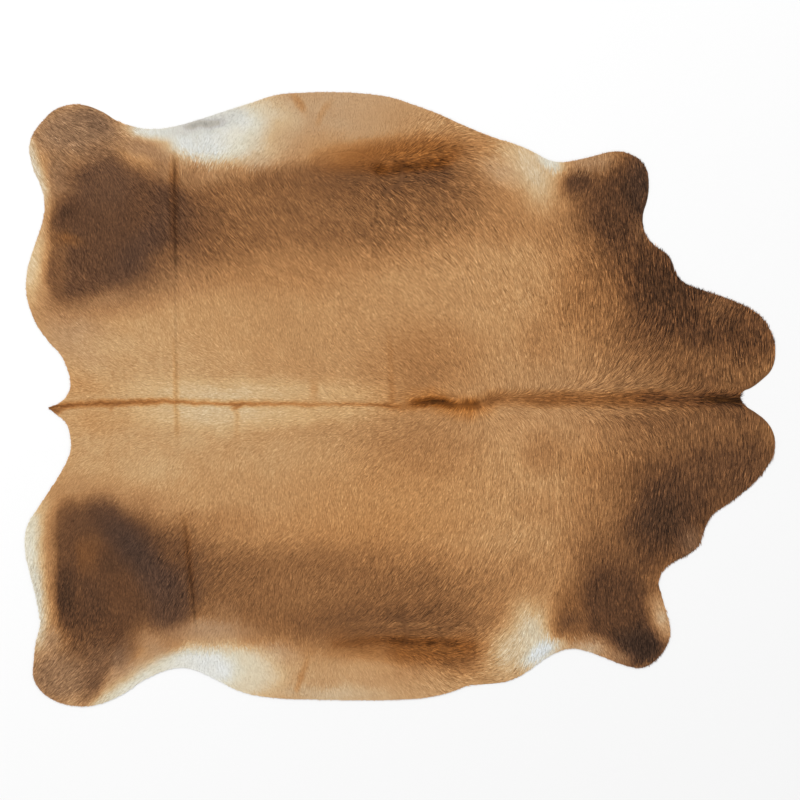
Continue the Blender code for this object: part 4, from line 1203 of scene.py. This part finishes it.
def floor_material(colours):
    """The plain pale floor."""
    material, n, shader = painted("floor")
    stops = ((0.0, [part * FLOOR_MOTTLE for part in colours.floor]), (1.0, colours.floor))
    colour = n.ramp(n.noise(1.5, 2.0, 0.5, n.place(), "floor"), stops, "floor colours")
    n.feed(shader, {"Base Color": colour, "Roughness": 0.9, "Specular IOR Level": 0.1})
    return material


# Settings, operators and panel

def colour_property(name, description, red, green, blue):
    """A colour setting whose default is given as a display colour."""
    return bpy.props.FloatVectorProperty(name=name, description=description, size=3, subtype="COLOR",
                                         min=0.0, max=1.0, default=linear(red, green, blue))


class HideSizes(bpy.types.PropertyGroup):
    """Sizes of the skin and its hair."""
    pile_depth: bpy.props.FloatProperty(
        name="Pile depth", description="How far the dense undercoat lies below the top of the coat",
        default=0.0017, min=0.0005, max=0.003, unit="LENGTH", subtype="DISTANCE")
    lock_length: bpy.props.FloatProperty(
        name="Lock length", description="Length of the locks of hair against the table's",
        default=1.0, min=0.3, max=2.0, subtype="FACTOR")
    lock_width: bpy.props.FloatProperty(
        name="Lock width", description="Width of one lock of hair at its middle",
        default=0.0018, min=0.0008, max=0.006, unit="LENGTH", subtype="DISTANCE")
    lock_count: bpy.props.IntProperty(
        name="Locks", description="How many locks of hair the coat has",
        default=445000, min=1000, max=450000)
    tip_lift: bpy.props.FloatProperty(
        name="Tip lift", description="How far the locks' tips stand off the coat",
        default=0.0009, min=0.0, max=0.004, unit="LENGTH", subtype="DISTANCE")
    overhang: bpy.props.FloatProperty(
        name="Overhang", description="How far hair reaches past the cut edge",
        default=0.0012, min=0.0, max=0.006, unit="LENGTH", subtype="DISTANCE")
    seed: bpy.props.IntProperty(name="Seed", description="Which random coat is made", default=7, min=0)


class CoatColours(bpy.types.PropertyGroup):
    """Colours of the hair, from the darkest to the white, and of the skin and floor."""
    blackish: colour_property("Blackish hair", "Darkest hair, at the leg ends", 45, 30, 21)
    dark_brown: colour_property("Dark brown hair", "Hair of the hind leg patches and the neck", 72, 50, 35)
    brown: colour_property("Brown hair", "Hair round the dark patches", 100, 67, 44)
    mid_brown: colour_property("Mid brown hair", "Hair along the flanks", 140, 96, 59)
    orange_tan: colour_property("Orange tan hair", "Hair of the shoulders", 181, 131, 83)
    tan: colour_property("Tan hair", "Hair of the back", 199, 153, 103)
    pale_tan: colour_property("Pale tan hair", "Hair beside the spine", 213, 179, 132)
    cream: colour_property("Cream hair", "Hair round the white patches", 222, 211, 183)
    white: colour_property("White hair", "Hair of the white patches", 239, 238, 229)
    warm_cast: colour_property("Warm cast", "What reddish hair is tinted with", 255, 233, 190)
    cool_cast: colour_property("Cool cast", "What greyish hair is tinted with", 199, 217, 255)
    suede: colour_property("Suede", "Underside of the skin", 198, 186, 168)
    suede_dark: colour_property("Darker suede", "Mottling of the underside", 172, 158, 138)
    floor: colour_property("Floor", "The pale floor", 240, 240, 240)


class StageSettings(bpy.types.PropertyGroup):
    """Camera and light of the studio."""
    lens: bpy.props.FloatProperty(
        name="Lens", description="Focal length of the camera that looks straight down",
        default=100.0, min=20.0, subtype="DISTANCE_CAMERA")
    sky: bpy.props.FloatProperty(
        name="Sky light", description="Strength of the even light from all round", default=0.80, min=0.0)
    key: bpy.props.FloatProperty(
        name="Key light", description="Power of the large soft light", default=960.0, min=0.0, unit="POWER")


class COWHIDE_OT_skin(bpy.types.Operator):
    """Make the tanned skin with its undercoat on the solid's outline and folds"""
    bl_idname = "cowhide.make_skin"
    bl_label = "Make the skin"

    def execute(self, context):
        sizes, colours = context.scene.hide_sizes, context.scene.coat_colours
        skin = hide_skin(sizes)
        skin.data.materials.append(coat_material("undercoat", colours, tip_gain=0.10, grain=0.05))
        skin.data.materials.append(suede_material(colours))
        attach(skin, "root")
        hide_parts("hide")
        return {"FINISHED"}


class COWHIDE_OT_coat(bpy.types.Operator):
    """Comb the coat's locks of hair over the skin, in one mesh for each stretch of the hide"""
    bl_idname = "cowhide.comb_coat"
    bl_label = "Comb the coat"

    def execute(self, context):
        sizes, colours = context.scene.hide_sizes, context.scene.coat_colours
        hair = coat_material("combed hair", colours, tip_gain=0.06, grain=0.03)
        pieces = coat_pieces(sizes)
        for piece in pieces:
            piece.data.materials.append(hair)
            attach(piece, "root")
        skin = bpy.data.objects.get("hide_skin")
        if skin is None:
            raise RuntimeError("make the skin before the coat")
        return {"FINISHED"}


class COWHIDE_OT_stage(bpy.types.Operator):
    """Set the pale floor, the soft light and the camera that looks straight down"""
    bl_idname = "cowhide.set_stage"
    bl_label = "Set the stage"

    def execute(self, context):
        stage, scene = context.scene.stage_settings, context.scene
        corners = [(-FLOOR, -FLOOR, 0), (FLOOR, -FLOOR, 0), (FLOOR, FLOOR, 0), (-FLOOR, FLOOR, 0)]
        floor = mesh_piece("floor", corners, [(0, 1, 2, 3)], smooth_shaded=False)
        floor.location.z = -FLOOR_DROP
        floor.data.materials.append(floor_material(scene.coat_colours))
        scene.world = scene.world or bpy.data.worlds.new("sky")
        scene.world.use_nodes = True
        sky = scene.world.node_tree.nodes["Background"]
        sky.inputs["Color"].default_value = (1.0, 1.0, 1.0, 1.0)
        sky.inputs["Strength"].default_value = stage.sky
        light = bpy.data.lights.new("key light", "AREA")
        light.shape, light.size, light.energy = "SQUARE", KEY_SIZE, stage.key
        lamp = placed("key light", light)
        lamp.location = KEY_PLACE
        lamp.rotation_mode = "QUATERNION"
        lamp.rotation_quaternion = (-lamp.location).to_track_quat("-Z", "Y")
        lamp.visible_camera = False
        camera = bpy.data.cameras.new("camera")
        camera.lens, camera.sensor_width = stage.lens, SENSOR
        scene.camera = placed("camera", camera)
        middle = spot(PICTURE_PIXELS / 2, PICTURE_PIXELS / 2)
        scene.camera.location = (*middle, RIM_HEIGHT + PICTURE_PIXELS * PLAN_UNIT * stage.lens / SENSOR)
        scene.view_settings.view_transform = "Standard"
        return {"FINISHED"}


class COWHIDE_PT_panel(bpy.types.Panel):
    """Lists what makes the rug, in the order that it is made"""
    bl_label = "Cowhide rug"
    bl_idname = "COWHIDE_PT_panel"
    bl_space_type = "VIEW_3D"
    bl_region_type = "UI"
    bl_category = "Cowhide"

    def draw(self, context):
        layout = self.layout
        for operator in OPERATORS:
            layout.operator(operator.bl_idname)
        for title, settings in (("Sizes", context.scene.hide_sizes), ("Colours", context.scene.coat_colours),
                                ("Studio", context.scene.stage_settings)):
            box = layout.box()
            box.label(text=title)
            for name in settings.bl_rna.properties.keys():
                if name not in ("rna_type", "name"):
                    box.prop(settings, name)


OPERATORS = (COWHIDE_OT_skin, COWHIDE_OT_coat, COWHIDE_OT_stage)
CLASSES = (HideSizes, CoatColours, StageSettings, *OPERATORS, COWHIDE_PT_panel)


def register():
    """Adds the settings, operators and panel to Blender."""
    for cls in CLASSES:
        bpy.utils.register_class(cls)
    bpy.types.Scene.hide_sizes = bpy.props.PointerProperty(type=HideSizes)
    bpy.types.Scene.coat_colours = bpy.props.PointerProperty(type=CoatColours)
    bpy.types.Scene.stage_settings = bpy.props.PointerProperty(type=StageSettings)


def unregister():
    """Takes them out again."""
    for name in ("hide_sizes", "coat_colours", "stage_settings"):
        delattr(bpy.types.Scene, name)
    for cls in reversed(CLASSES):
        bpy.utils.unregister_class(cls)


def main():
    """Makes the whole rug and its stage."""
    register()
    for operator in OPERATORS:
        group, action = operator.bl_idname.split(".")
        getattr(getattr(bpy.ops, group), action)()


if __name__ == "__main__":
    main()
